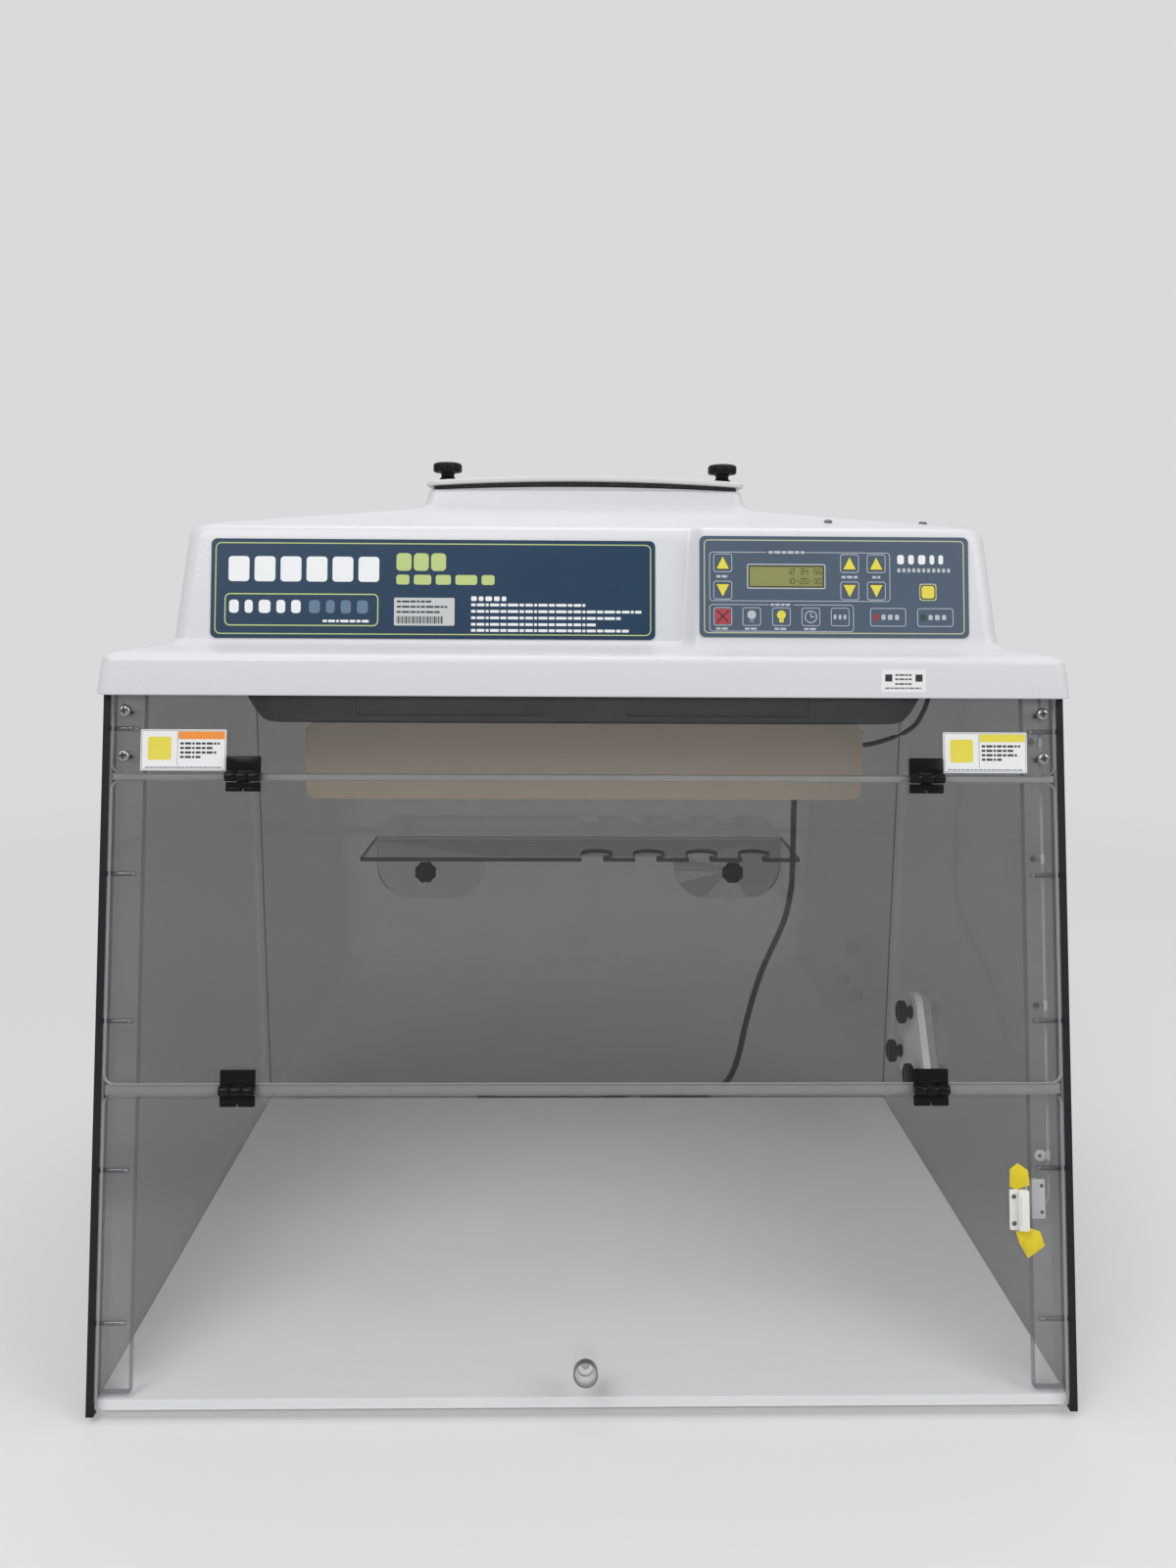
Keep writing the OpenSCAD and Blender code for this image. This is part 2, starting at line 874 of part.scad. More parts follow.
module head_shell() {
    color("white")
    difference() {
        union() {
            head_outside();
            // flat pad for the power inlet
            translate([inlet_x - 34, back(598), 628])
            cube([68, 12, 78]);
            // arched lips that hold the foam
            for (d = [264.4, 515.4])
                translate([0, back(d), boss_z - 0.5])
                seat_lip(lip_w, 2.2, lip_rise);
        }
        // lower hollow, over the panels and the deck
        loft([skirt_z - 1, wall_top + 0.5, deck_top],
             [outline(skirt_w/2 - shell_t, 118.5 + shell_t, 619 - shell_t, 6),
              outline(skirt_w/2 - 5.1, 122.5, 615.8, 6),
              outline(skirt_w/2 - 6.6, 124, 615, 9)]);
        loft([for (r = cavity_rings) r[0]],
             [for (r = cavity_rings) outline(r[1], r[2], r[3], r[4])]);
        // intake opening through the lid's seat
        translate([-112, back(300), boss_z - 8])
        cube([224, 182, 12]);
        for (x = [-1, 1], d = lid_knob_d)
            translate([x*lid_knob_x, back(d), boss_z - 6])
            cylinder(r = stud_r, h = 8);
        // window for the inlet and the switch
        translate([inlet_x - 14, back(590), 638.5])
        cube([28, 30, 58]);
    }
}

module head_deck() {
    color("dimgray")
    difference() {
        translate([0, 0, wall_top])
        linear_extrude(deck_t)
        translate([0, back(369)])
        round_rect(810, 486, 10);
        translate([0, 0, wall_top - 1])
        linear_extrude(deck_t + 2)
        translate([0, back(381)])
        round_rect(650, 388, 30);
    }
}

tray_rings = [
    [tray_z, 294, 206, 556, 24],
    [tray_z + 2, 298, 202.5, 559.5, 27],
    [tray_z + 8, 303, 199, 563, 30],
    [tray_z + 24, 311, 195, 567, 31],
    [wall_top, 323, 189, 573, 31],
    [deck_top + 1, 324, 188.5, 573.5, 31]
];
tray_hollow = [
    [tray_z + 3, 291, 209, 553, 22],
    [tray_z + 10, 299.5, 203, 559, 28],
    [tray_z + 24, 307.5, 199, 563, 29],
    [deck_top + 4, 320, 192, 570, 28]
];

module filter_tray() {
    color("darkslategray")
    difference() {
        union() {
            loft([for (r = tray_rings) r[0]],
                 [for (r = tray_rings) outline(r[1], r[2], r[3], r[4])]);
            // flange that hangs the tray on the deck
            translate([0, 0, deck_top])
            linear_extrude(3)
            translate([0, back(381)])
            round_rect(676, 414, 34);
        }
        loft([for (r = tray_hollow) r[0]],
             [for (r = tray_hollow) outline(r[1], r[2], r[3], r[4])]);
        // air outlet
        translate([0, 0, tray_z - 1])
        linear_extrude(6)
        translate([0, back(424)])
        round_rect(556, 216, 12);
        // shallow panels between the front wall's ribs
        for (x = [[-207, -41], [38, 203]])
            translate([x[0], back(199), tray_z + 8])
            rotate([tray_lean, 0, 0])
            translate([0, -6, -1])
            cube([x[1] - x[0], 6 + tray_recess, 38]);
        translate([321, back(228), deck_top - 16])
        cylinder(r = 2.4, h = 30);
    }
}

// perforated sheet under the main filter
module outlet_grille() {
    color("darkgray")
    difference() {
        translate([0, 0, tray_z + 3])
        linear_extrude(2)
        translate([0, back(384)])
        round_rect(572, 330, 12);
        for (x = [-252:36:252], d = [340:28:508])
            translate([x, back(d), tray_z + 2])
            linear_extrude(4)
            round_rect(30, 20, 4);
    }
}

// framed pleated filter block
module main_filter() {
    color("ivory")
    difference() {
        translate([-filter_w/2, back(222), tray_z + 5])
        cube([filter_w, 324, filter_h]);
        translate([-filter_w/2 + 14, back(236), tray_z + 5 + filter_h - 3])
        cube([filter_w - 28, 296, 4]);
        for (x = [-filter_w/2 + 18:12:filter_w/2 - 26])
            translate([x, back(238), tray_z + 12])
            cube([6, 292, filter_h]);
    }
}

// plate with the inlet ring over the wheel, on four legs, and the cross bar for the motor
module blower_frame() {
    color("silver")
    union() {
        difference() {
            translate([-130, back(391) - 110, 708])
            cube([260, 220, 2]);
            translate([0, back(391), 700])
            cylinder(r = wheel_r*0.72, h = 20);
        }
        translate([0, back(391), 700])
        difference() {
            cylinder(r = wheel_r*0.72 + 2, h = 9);
            translate([0, 0, -1])
            cylinder(r = wheel_r*0.72, h = 12);
        }
        for (x = [-1, 1], y = [-1, 1])
            translate([x*122 - 8, back(391) + y*102 - 8, deck_top + 3])
            cube([16, 16, 102]);
        // rails that lie across the tray's flange
        for (y = [-1, 1])
            translate([-332, back(391) + y*102 - 8, deck_top + 3])
            cube([664, 16, 3]);
        translate([-30, back(391) - 102, deck_top + 3])
        cube([60, 204, 3]);
    }
}

module blower_motor() {
    color("dimgray")
    translate([0, back(391), deck_top + 6])
    union() {
        cylinder(r = 38, h = 37);
        cylinder(r = 4, h = 78);
    }
}

// backward-curved blades between a hub disc and a shroud ring
module blower_wheel() {
    hub_z = 650;
    color("steelblue")
    translate([0, back(391), hub_z])
    union() {
        difference() {
            union() {
                cylinder(r = wheel_r, h = 2);
                cylinder(r = 14, h = 34);
            }
            translate([0, 0, -1])
            cylinder(r = 4.05, h = 40);
        }
        translate([0, 0, wheel_h - 6])
        difference() {
            cylinder(r = wheel_r, h = 2);
            translate([0, 0, -1])
            cylinder(r = wheel_r*0.76, h = 4);
        }
        for (a = [0:360/blade_n:359])
            rotate(a)
            translate([wheel_r*0.5, 0, 1.9])
            linear_extrude(wheel_h - 7.8)
            intersection() {
                translate([6, 42])
                difference() {
                    circle(44);
                    circle(42.4);
                }
                translate([0, -4])
                square([wheel_r*0.42, 30]);
            }
    }
}

// Intake lid

lid_R = (pow(lid_w/2, 2) + pow(lid_rise, 2))/(2*lid_rise);
lid_edge_z = boss_z + 3;
// height of the lid's underside at x
function lid_base(x) = lid_edge_z + sqrt(lid_R*lid_R - x*x) - (lid_R - lid_rise);

// arch profile in x and z between the seat's plane and the given height over the arch
module arch_solid(top_add, w, d0, d1, from_seat) {
    translate([0, back(d1), 0])
    rotate([90, 0, 0])
    linear_extrude(d1 - d0)
    polygon(concat(
        [for (x = [-w/2:w/16:w/2 + 0.01]) [x, from_seat ? boss_z : lid_base(x)]],
        [for (x = [w/2:-w/16:-w/2 - 0.01]) [x, lid_base(x) + top_add]]));
}

module lid_plan(w, d0, d1, r) {
    translate([0, 0, boss_z - 5])
    linear_extrude(30)
    translate([0, back((d0 + d1)/2)])
    round_rect(w, d1 - d0, r);
}

module prefilter() {
    color("black")
    difference() {
        intersection() {
            arch_solid(-0.06, 284, 267, 515, true);
            lid_plan(284, 267, 515, 8);
        }
        for (x = [-1, 1], d = lid_knob_d)
            translate([x*lid_knob_x, back(d), boss_z - 1])
            cylinder(r = screw_hole, h = 20);
    }
}

module intake_lid() {
    color("snow")
    difference() {
        intersection() {
            arch_solid(lid_t, lid_w, lid_d0, lid_d1, false);
            lid_plan(lid_w, lid_d0, lid_d1, 12);
        }
        for (x = [-1, 1], d = lid_knob_d)
            translate([x*lid_knob_x, back(d), boss_z - 1])
            cylinder(r = screw_hole, h = 20);
    }
}

module lid_knob(x, d) {
    color("black")
    translate([x, back(d), lid_base(lid_knob_x - 8) + lid_t + 0.1])
    lobed_knob();
}

module lid_knob_fl() {
    lid_knob(-lid_knob_x, lid_knob_d[0]);
}

module lid_knob_fr() {
    lid_knob(lid_knob_x, lid_knob_d[0]);
}

module lid_knob_bl() {
    lid_knob(-lid_knob_x, lid_knob_d[1]);
}

module lid_knob_br() {
    lid_knob(lid_knob_x, lid_knob_d[1]);
}

// Controls

// the control box's front leans back from its foot to its top edge
face_z0 = skirt_z + 56;
face_z1 = box_z - 12;
face_lean = atan((184.5 - 168.5)/(face_z1 - face_z0));

// places children on the box's front: x across, y up the face, z outwards
module on_face(jog) {
    translate([0, back(168.5 - jog), face_z0])
    rotate([90 - face_lean, 0, 0])
    children();
}

module name_plate() {
    color("midnightblue")
    on_face(0)
    translate([-133, 33, 0.02])
    linear_extrude(0.8)
    round_rect(386, 87, 5);
}

module control_overlay() {
    color("slategray")
    on_face(bay_jog)
    difference() {
        translate([214.5, 37, 0.02])
        linear_extrude(1)
        round_rect(234, 88, 5);
        translate([display_x, display_s, -1])
        linear_extrude(4)
        round_rect(66, 20, 2);
    }
}

module display() {
    color("olive")
    on_face(bay_jog)
    translate([display_x, display_s, 0.02])
    linear_extrude(0.7)
    round_rect(65.6, 19.6, 1.8);
}

module circuit_board() {
    color("darkgreen")
    translate([210, back(200), 676])
    union() {
        cube([210, 1.6, 64], center = true);
        // posts that stand on the deck
        for (x = [-90, 90])
            translate([x - 4, -0.8, deck_top - 676])
            cube([8, 8, 60]);
        translate([20, 7, -8])
        cube([40, 14, 30], center = true);
        translate([-60, 5, 6])
        cube([26, 10, 18], center = true);
    }
}

// Power

module power_inlet() {
    color("black")
    difference() {
        union() {
            translate([inlet_x - 16, back(610), 634.5])
            cube([32, 3, 66]);
            translate([inlet_x - 13.8, back(592), 638.7])
            cube([27.6, 18.1, 57.6]);
        }
        // socket recess and rocker recess
        translate([inlet_x - 11.5, back(598), inlet_z - 8.5])
        cube([23, 20, 17]);
        translate([inlet_x - 7, back(604), switch_z - 11])
        cube([14, 12, 22]);
    }
}

module power_switch() {
    color("black")
    translate([inlet_x, back(612.5), switch_z])
    rotate([0, 90, 0])
    translate([0, 0, -6.7])
    linear_extrude(13.4)
    polygon([[-9.8, 1.6], [0, -0.6], [9.8, 0.6], [9.4, -1.2], [4, -5.4], [-4, -5.4], [-9.4, -1.6]]);
}

// connector with a tapered, ribbed strain relief
module cord_connector() {
    color("black")
    translate([inlet_x, back(inlet_d), inlet_z])
    rotate([-90, 0, 0])
    difference() {
        union() {
            translate([0, 0, -14])
            linear_extrude(15)
            round_rect(22, 16, 3);
            linear_extrude(24)
            round_rect(27, 20, 5);
            translate([0, 0, 24])
            cylinder(r1 = 9.5, r2 = 7.4, h = 4);
            translate([0, 0, 27.9])
            cylinder(r1 = 7, r2 = 4.8, h = 26.1);
        }
        for (z = [31:5:46])
            translate([0, 0, z])
            difference() {
                cylinder(r = 9, h = 1.6);
                translate([0, 0, -1])
                cylinder(r = 4.6, h = 4);
            }
    }
}

cord_exit = [inlet_x, inlet_d + 54, inlet_z];
// the unseen length lies folded in a flat hank behind the base, its runs along X
floor_z = cord_d/2 + 0.6;
hank_x = -18;
hank_d = 642.5;
hank_run = 176;
hank_w = 48 + cord_d;
hank_l = hank_run + hank_w;
hank_h = cord_d + 0.6;
cord_route = [
    cord_exit, [290, 676, 651], [289, 690, 645], [289, 701, 632], [289, 706, 612], [289, 706, 560],
    [289.5, 706, 500], [289.5, 706, 440], [289, 706, 389], [289.4, 704.5, 325], [288, 700, 276],
    [281.7, 694, 243], [272.4, 688.5, 217.3], [259.6, 683, 191.5], [247.9, 678, 165.7],
    [238.5, 672.5, 140], [230.8, 667, 114.4], [223.7, 661, 89], [218.5, 656, 66], [213, 652, 46],
    [204, 648.5, 26], [190.5, 646, 12.2], [173, 646, 5.6], [156, 648.5, floor_z],
    [138, 652.5, floor_z], [120, 658.5, floor_z], [104, 663.5, floor_z], [88, 666.2, floor_z],
    [hank_x + hank_run/2 + 2, 666.5, floor_z]
];

module power_cord() {
    color("black")
    cable(smooth_path([for (p = cord_route) [p[0], back(p[1]), p[2]]], 3), cord_d/2, 10);
}

module cord_hank() {
    color("black")
    translate([hank_x, back(hank_d), 0])
    linear_extrude(hank_h)
    round_rect(hank_l, hank_w - 0.01, hank_w/2 - 0.01);
}

module hank_tie() {
    color("dimgray")
    translate([hank_x, back(hank_d), hank_h/2])
    rotate([0, 90, 0])
    translate([0, 0, -4])
    linear_extrude(8)
    difference() {
        square([hank_h, hank_w + 2.4], center = true);
        square([hank_h + 1, hank_w], center = true);
    }
}

// end of the cord, which comes up over the hank's fold, and the plug beside the hank
module power_plug() {
    color("black")
    translate([hank_x + hank_l/2 + 1, back(629), 0])
    union() {
        rotate([0, 90, 0])
        translate([-10, 0, 0])
        cylinder(r1 = cord_d/2 + 0.9, r2 = 7, h = 24);
        translate([23.5, 0, 10])
        rotate([0, 90, 0])
        linear_extrude(34.5)
        round_rect(20, 25, 4);
        for (y = [-6.35, 6.35])
            translate([57, y - 0.8, 9])
            cube([18, 1.6, 6.3]);
        translate([57, 0, 5.5])
        rotate([0, 90, 0])
        cylinder(r = 2.4, h = 20);
    }
}

// Drawing

base_plate();
rubber_feet();
side_panel_left();
side_panel_right();
back_panel();
front_strips();
side_screws();
upper_front_panel();
panel_screws();
upper_sash();
lower_sash();
sash_knob();
upper_hinge_fixed();
upper_hinge_moving();
upper_hinge_pins();
lower_hinge_fixed();
lower_hinge_moving();
lower_hinge_pins();
interlock_magnet();
interlock_sensor();
sensor_cable();
cable_clips();
shelf();
shelf_knob_left();
shelf_knob_right();
port_cover();
port_knob_top();
port_knob_front();
port_knob_rear();
knob_studs();
light_housing();
white_lamp();
uv_lamp();
lamp_cable();
head_shell();
head_deck();
filter_tray();
outlet_grille();
main_filter();
blower_frame();
blower_motor();
blower_wheel();
prefilter();
intake_lid();
lid_knob_fl();
lid_knob_fr();
lid_knob_bl();
lid_knob_br();
name_plate();
control_overlay();
display();
circuit_board();
power_inlet();
power_switch();
cord_connector();
power_cord();
cord_hank();
hank_tie();
power_plug();
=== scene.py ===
import logging
import math
from dataclasses import dataclass, field
from enum import Enum
from typing import Callable, Iterable, Sequence

import bmesh
import bpy
from mathutils import Matrix, Vector


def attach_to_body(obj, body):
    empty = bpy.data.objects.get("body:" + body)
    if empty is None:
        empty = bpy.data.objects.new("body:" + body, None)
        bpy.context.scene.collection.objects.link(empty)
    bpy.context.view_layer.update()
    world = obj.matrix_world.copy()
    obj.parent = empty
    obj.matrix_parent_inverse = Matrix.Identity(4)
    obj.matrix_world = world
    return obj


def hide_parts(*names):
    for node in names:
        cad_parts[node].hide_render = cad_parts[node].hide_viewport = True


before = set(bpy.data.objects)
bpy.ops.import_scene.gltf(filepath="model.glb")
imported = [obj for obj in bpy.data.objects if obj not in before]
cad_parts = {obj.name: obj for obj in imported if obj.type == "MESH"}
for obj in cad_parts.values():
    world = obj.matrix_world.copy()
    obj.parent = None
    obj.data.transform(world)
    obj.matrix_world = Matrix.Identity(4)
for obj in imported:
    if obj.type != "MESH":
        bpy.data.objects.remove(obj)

log = logging.getLogger("cabinet")
Colour = tuple[float, float, float]
Spot = tuple[float, float, float]
Flat = list[tuple[float, float]]
Outline = Callable[[float], Flat]

FRONT_Y = -304.0
FOOT_H = 6.0
LEAN = math.radians(12.6)
FACE_FOOT = (168.5, 640.0)
FACE_LEAN = math.atan(16 / 75)
BAY_JOG = 12.0
CAB_HALF = 406.5
INNER_HALF = 400.1
MM = 0.001
PLASTIC_IOR = 1.49
SHARP = 32.0
SHELL_SHARP = 28.0


class Slot(Enum):
    """The record's material slots that the pieces of this scene use."""

    WHITE_MOULDING = "white_moulding"
    BLACK_MOULDING = "black_moulding"
    CLEAR = "clear_acrylic"
    STEEL = "stainless"
    CABLE = "black_cable"
    IVORY = "ivory_moulding"
    BLUE = "blue_print"
    SLATE = "slate_print"
    DISPLAY = "display_glass"
    SHEET = "white_sheet"
    NYLON = "nylon"
    LAMP = "lamp_glass"


# Shader values and finishes


class Value:
    """A shader value whose operators add Math nodes to its tree."""

    def __init__(self, tree: "Shader", socket: bpy.types.NodeSocket) -> None:
        """Wrap one output socket of a tree."""
        self.tree = tree
        self.socket = socket

    def _math(self, operation: str, a: "Value | float", b: "Value | float" = 0.0) -> "Value":
        """Return the result of one Math node."""
        return self.tree.node("ShaderNodeMath", {"operation": operation}, {0: a, 1: b})

    def __add__(self, other: "Value | float") -> "Value":
        """Sum."""
        return self._math("ADD", self, other)

    __radd__ = __add__

    def __sub__(self, other: "Value | float") -> "Value":
        """Difference."""
        return self._math("SUBTRACT", self, other)

    def __rsub__(self, other: float) -> "Value":
        """Difference from a number."""
        return self._math("SUBTRACT", other, self)

    def __mul__(self, other: "Value | float") -> "Value":
        """Product."""
        return self._math("MULTIPLY", self, other)

    __rmul__ = __mul__

    def __pow__(self, power: float) -> "Value":
        """Power."""
        return self._math("POWER", self, power)

    def __abs__(self) -> "Value":
        """Size without sign."""
        return self._math("ABSOLUTE", self)

    def most(self, other: "Value | float") -> "Value":
        """Return the larger of two values."""
        return self._math("MAXIMUM", self, other)

    def above(self, edge: float, soft: float) -> "Value":
        """Return a smooth step from 0 to 1.

        Args:
            edge: value at the middle of the step.
            soft: half of the step's width.
        """
        return self.tree.node(
            "ShaderNodeMapRange",
            {"interpolation_type": "SMOOTHSTEP"},
            {"Value": self, "From Min": edge - soft, "From Max": edge + soft},
        )


class Shader:
    """The node tree of one material or world."""

    def __init__(self, name: str, kind: str = "materials") -> None:
        """Start an empty material, or one of bpy.data's other kinds, of that name."""
        self.owner = getattr(bpy.data, kind).new(name)
        self.owner.use_nodes = True
        self.tree = self.owner.node_tree
        self.tree.nodes.clear()

    def node(
        self,
        kind: str,
        settings: dict[str, object] | None = None,
        inputs: dict[str | int, object] | None = None,
        out: str | int = 0,
    ) -> Value:
        """Add a node.

        Args:
            kind: the node's type.
            settings: its own settings, made first; "stops" is a ramp's list of (place, colour).
            inputs: values or links of its sockets, by name or number.
            out: the output to return.

        Returns:
            The wrapped output.
        """
        made = self.tree.nodes.new(kind)
        for key, value in (settings or {}).items():
            if key == "stops":
                ramp = made.color_ramp
                while len(ramp.elements) < len(value):
                    ramp.elements.new(0.5)
                for element, (place, colour) in zip(ramp.elements, value):
                    element.position = place
                    element.color = (*colour, 1.0)
            else:
                setattr(made, key, value)
        for key, value in (inputs or {}).items():
            if isinstance(value, Value):
                self.tree.links.new(value.socket, made.inputs[key])
            else:
                made.inputs[key].default_value = value
        return Value(self, made.outputs[out] if len(made.outputs) else None)

    def mix(self, factor: Value | float, a: object, b: object, blend: str = "MIX") -> Value:
        """Return a colour between a and b."""
        pair = [(*c, 1.0) if isinstance(c, tuple) else c for c in (a, b)]
        return self.node(
            "ShaderNodeMix",
            {"data_type": "RGBA", "blend_type": blend},
            {0: factor, 6: pair[0], 7: pair[1]},
            2,
        )

    def place(self) -> Value:
        """Return the point in the row frame, in metres."""
        return self.node("ShaderNodeTexCoord", out="Object")

    def noise(self, size_mm: float, detail: float = 2.0) -> Value:
        """Return cloudy noise with features of about that size."""
        return self.node(
            "ShaderNodeTexNoise",
            inputs={"Vector": self.place(), "Scale": 1000.0 / size_mm, "Detail": detail},
        )

    def streaks(self, stretch: Spot, scale: float, detail: float) -> Value:
        """Return noise drawn out along the axes whose stretch is small."""
        lines = self.node("ShaderNodeMapping", inputs={"Vector": self.place(), "Scale": stretch})
        inputs = {"Vector": lines, "Scale": scale, "Detail": detail}
        return self.node("ShaderNodeTexNoise", inputs=inputs)

    def cells(self, size_mm: float, feature: str, **more: float) -> Value:
        """Return the distance to the middle of cells of about that size."""
        inputs = {"Vector": self.place(), "Scale": 1000.0 / size_mm, **more}
        return self.node("ShaderNodeTexVoronoi", {"feature": feature}, inputs, "Distance")

    def bump(self, height: Value, depth_mm: float, normal: Value | None = None) -> Value:
        """Return a normal raised by height times depth_mm."""
        inputs = {"Height": height, "Distance": depth_mm * MM, "Strength": 1.0}
        if normal is not None:
            inputs["Normal"] = normal
        return self.node("ShaderNodeBump", inputs=inputs)

    def over_clear(self, cover: Value, tint: Colour, body: Value) -> Value:
        """Return the body mixed by its cover over a clear sheet of that tint."""
        clear = self.node("ShaderNodeBsdfTransparent", inputs={"Color": (*tint, 1.0)})
        return self.node("ShaderNodeMixShader", inputs={0: cover, 1: clear, 2: body})

    def principled(self, **inputs: object) -> Value:
        """Return a Principled shader; underscores in names stand for spaces."""
        named = {key.replace("_", " "): value for key, value in inputs.items()}
        for key, value in named.items():
            if isinstance(value, tuple) and len(value) == 3:
                named[key] = (*value, 1.0)
        return self.node("ShaderNodeBsdfPrincipled", inputs={"IOR": PLASTIC_IOR, **named})

    def done(self, surface: Value) -> bpy.types.ID:
        """Connect the surface and return the material or world."""
        world = isinstance(self.owner, bpy.types.World)
        output = "ShaderNodeOutputWorld" if world else "ShaderNodeOutputMaterial"
        self.node(output, inputs={"Surface": surface})
        return self.owner


def tone(colour: Colour, share: float, lift: float = 0.0) -> Colour:
    """Return the colour times share, plus lift, at most white."""
    return tuple(min(c * share + lift, 1.0) for c in colour)


@dataclass(frozen=True)
class Finish:
    """A named surface finish."""

    name: str

    def shade(self, s: Shader) -> Value:
        """Return the surface shader."""
        raise NotImplementedError

    def material(self) -> bpy.types.Material:
        """Return this finish's material, made once."""
        name = self.name + "_look"
        found = bpy.data.materials.get(name)
        if found is None:
            shader = Shader(name)
            found = shader.done(self.shade(shader))
        return found


@dataclass(frozen=True)
class Moulded(Finish):
    """Moulded or painted surface with a fine grain, faint cloudy colour and rubbed spots."""

    colour: Colour = (0.5, 0.5, 0.5)
    rough: float = 0.4
    grain_mm: float = 1.2
    grain_depth: float = 0.02
    cloud: float = 0.04
    coat: float = 0.0
    mirror: float = 0.5

    def shade(self, s: Shader) -> Value:
        """Grain in the normal, cloud in colour and gloss."""
        cloud = s.noise(45.0, 3.0)
        dark, pale = tone(self.colour, 1 - self.cloud), tone(self.colour, 1 + self.cloud)
        return s.principled(
            Base_Color=s.mix(cloud, dark, pale), Roughness=(self.rough - 0.06) + cloud * 0.12,
            Normal=s.bump(s.noise(self.grain_mm), self.grain_depth), Coat_Weight=self.coat,
            Specular_IOR_Level=self.mirror)


@dataclass(frozen=True)
class OrangePeel(Finish):
    """Glossy white moulding with the pebbled skin of a sprayed or vacuum-formed sheet."""

    colour: Colour = (0.63, 0.63, 0.648)
    rough: float = 0.3
    pebble_mm: float = 2.6
    depth: float = 0.16

    def shade(self, s: Shader) -> Value:
        """Pebbles of two sizes in the normal."""
        pebbles = 1 - s.cells(self.pebble_mm, "SMOOTH_F1", Smoothness=0.8)
        cloud = s.noise(70.0)
        return s.principled(
            Base_Color=s.mix(cloud, self.colour, tone(self.colour, 1.03)),
            Roughness=self.rough + cloud * 0.08,
            Normal=s.bump(pebbles, self.depth, s.bump(s.noise(0.9), 0.02)))


@dataclass(frozen=True)
class Acrylic(Finish):
    """Clear or tinted sheet that shows what is behind it, with sawn edges of their own colour."""

    tint: Colour = (0.95, 0.96, 0.96)
    edge: Colour = (0.6, 0.61, 0.62)
    edge_cover: float = 0.8
    veil: float = 0.01
    faces: tuple[Spot, ...] = ((0.0, 0.0, 1.0),)
    clear_behind: float | None = None
    mirror: float = 0.035
    clear_share: float = 1.0

    def _behind(self, s: Shader, normal: Value) -> Value:
        """Return 1 where the sheet stands upright behind clear_behind, in metres."""
        depth, turn = (s.node("ShaderNodeSeparateXYZ", inputs={0: v}, out=1)
                       for v in (s.place(), normal))
        return depth.above(self.clear_behind, 0.0005) * abs(turn).above(0.75, 0.08)

    def shade(self, s: Shader) -> Value:
        """Polished faces reflect as they turn away, edges scatter."""
        normal = s.node("ShaderNodeTexCoord", out="Normal")
        flat: Value | None = None
        for axis in self.faces:
            turn = s.node("ShaderNodeVectorMath", {"operation": "DOT_PRODUCT"},
                          {0: normal, 1: axis}, "Value")
            hit = abs(turn).above(0.75, 0.08)
            flat = hit if flat is None else flat.most(hit)
        rim = edge = 1 - flat
        if self.clear_behind is not None:
            edge = 1 - flat.most(self._behind(s, normal) * self.clear_share)
        facing = s.node("ShaderNodeLayerWeight", inputs={"Blend": 0.5}, out="Facing")
        smudge = s.noise(60.0, 4.0).above(0.55, 0.2)
        gloss = facing ** 5.0 * 0.75 + smudge * self.veil + (self.mirror + self.veil)
        solid = s.principled(
            Base_Color=s.mix(rim, (0.86, 0.86, 0.86), self.edge), Metallic=flat,
            Roughness=0.05 + rim * 0.45, Specular_IOR_Level=0.15)
        return s.over_clear(gloss.most(edge * self.edge_cover), self.tint, solid)


@dataclass(frozen=True)
class Frosted(Finish):
    """Milky vinyl that lets a little of what is behind it through."""

    colour: Colour = (0.26, 0.262, 0.25)
    cover: float = 0.86

    def shade(self, s: Shader) -> Value:
        """Cloudy cover over a clear body."""
        cloud = s.noise(22.0, 3.0)
        milk = s.principled(Base_Color=s.mix(cloud, tone(self.colour, 0.9), self.colour),
                            Roughness=0.5, Normal=s.bump(s.noise(1.0), 0.01))
        return s.over_clear((self.cover - 0.05) + cloud * 0.1, (0.9, 0.9, 0.9), milk)


@dataclass(frozen=True)
class ClearSolid(Finish):
    """Turned clear plastic: see-through in the middle, with painted shade darkening it where it
    curves away, standing for refraction.
    """

    # rim: the painted shade's colour where the sides slant from the eye
    rim: Colour = (0.12, 0.12, 0.12)
    core: Colour = (0.85, 0.87, 0.86)

    def shade(self, s: Shader) -> Value:
        """Cover and colour follow the angle to the eye; the rim colour is painted shade."""
        facing = s.node("ShaderNodeLayerWeight", inputs={"Blend": 0.5}, out="Facing")
        edge = facing.above(0.2, 0.3)
        ripple = s.noise(4.0)
        body = s.principled(Base_Color=s.mix(edge, self.core, self.rim),
                            Roughness=0.06 + ripple * 0.06, Normal=s.bump(ripple, 0.3))
        return s.over_clear(edge * 0.7 + 0.16, (0.9, 0.92, 0.91), body)


@dataclass(frozen=True)
class Steel(Finish):
    """Bright metal with short brushed lines along one axis."""

    colour: Colour = (0.62, 0.62, 0.61)
    rough: float = 0.26
    stretch: Spot = (1.0, 1.0, 0.05)

    def shade(self, s: Shader) -> Value:
        """Stretched noise in gloss and normal."""
        brush = s.streaks(self.stretch, 1600.0, 2.0)
        return s.principled(
            Base_Color=s.mix(s.noise(12.0), tone(self.colour, 0.82), self.colour),
            Metallic=1.0, Roughness=self.rough + brush * 0.12, Normal=s.bump(brush, 0.01))


@dataclass(frozen=True)
class Foam(Finish):
    """Open-cell foam."""

    colour: Colour = (0.03, 0.03, 0.03)
    cell_mm: float = 1.6

    def shade(self, s: Shader) -> Value:
        """Cells as pits, with painted shade darkening their middles."""
        cell = s.cells(self.cell_mm, "F1")
        # Painted shade: colour darkest where each pit is deepest.
        return s.principled(Base_Color=s.mix(cell, self.colour, tone(self.colour, 2.6, 0.01)),
                            Roughness=0.92, Normal=s.bump(cell, 0.6))


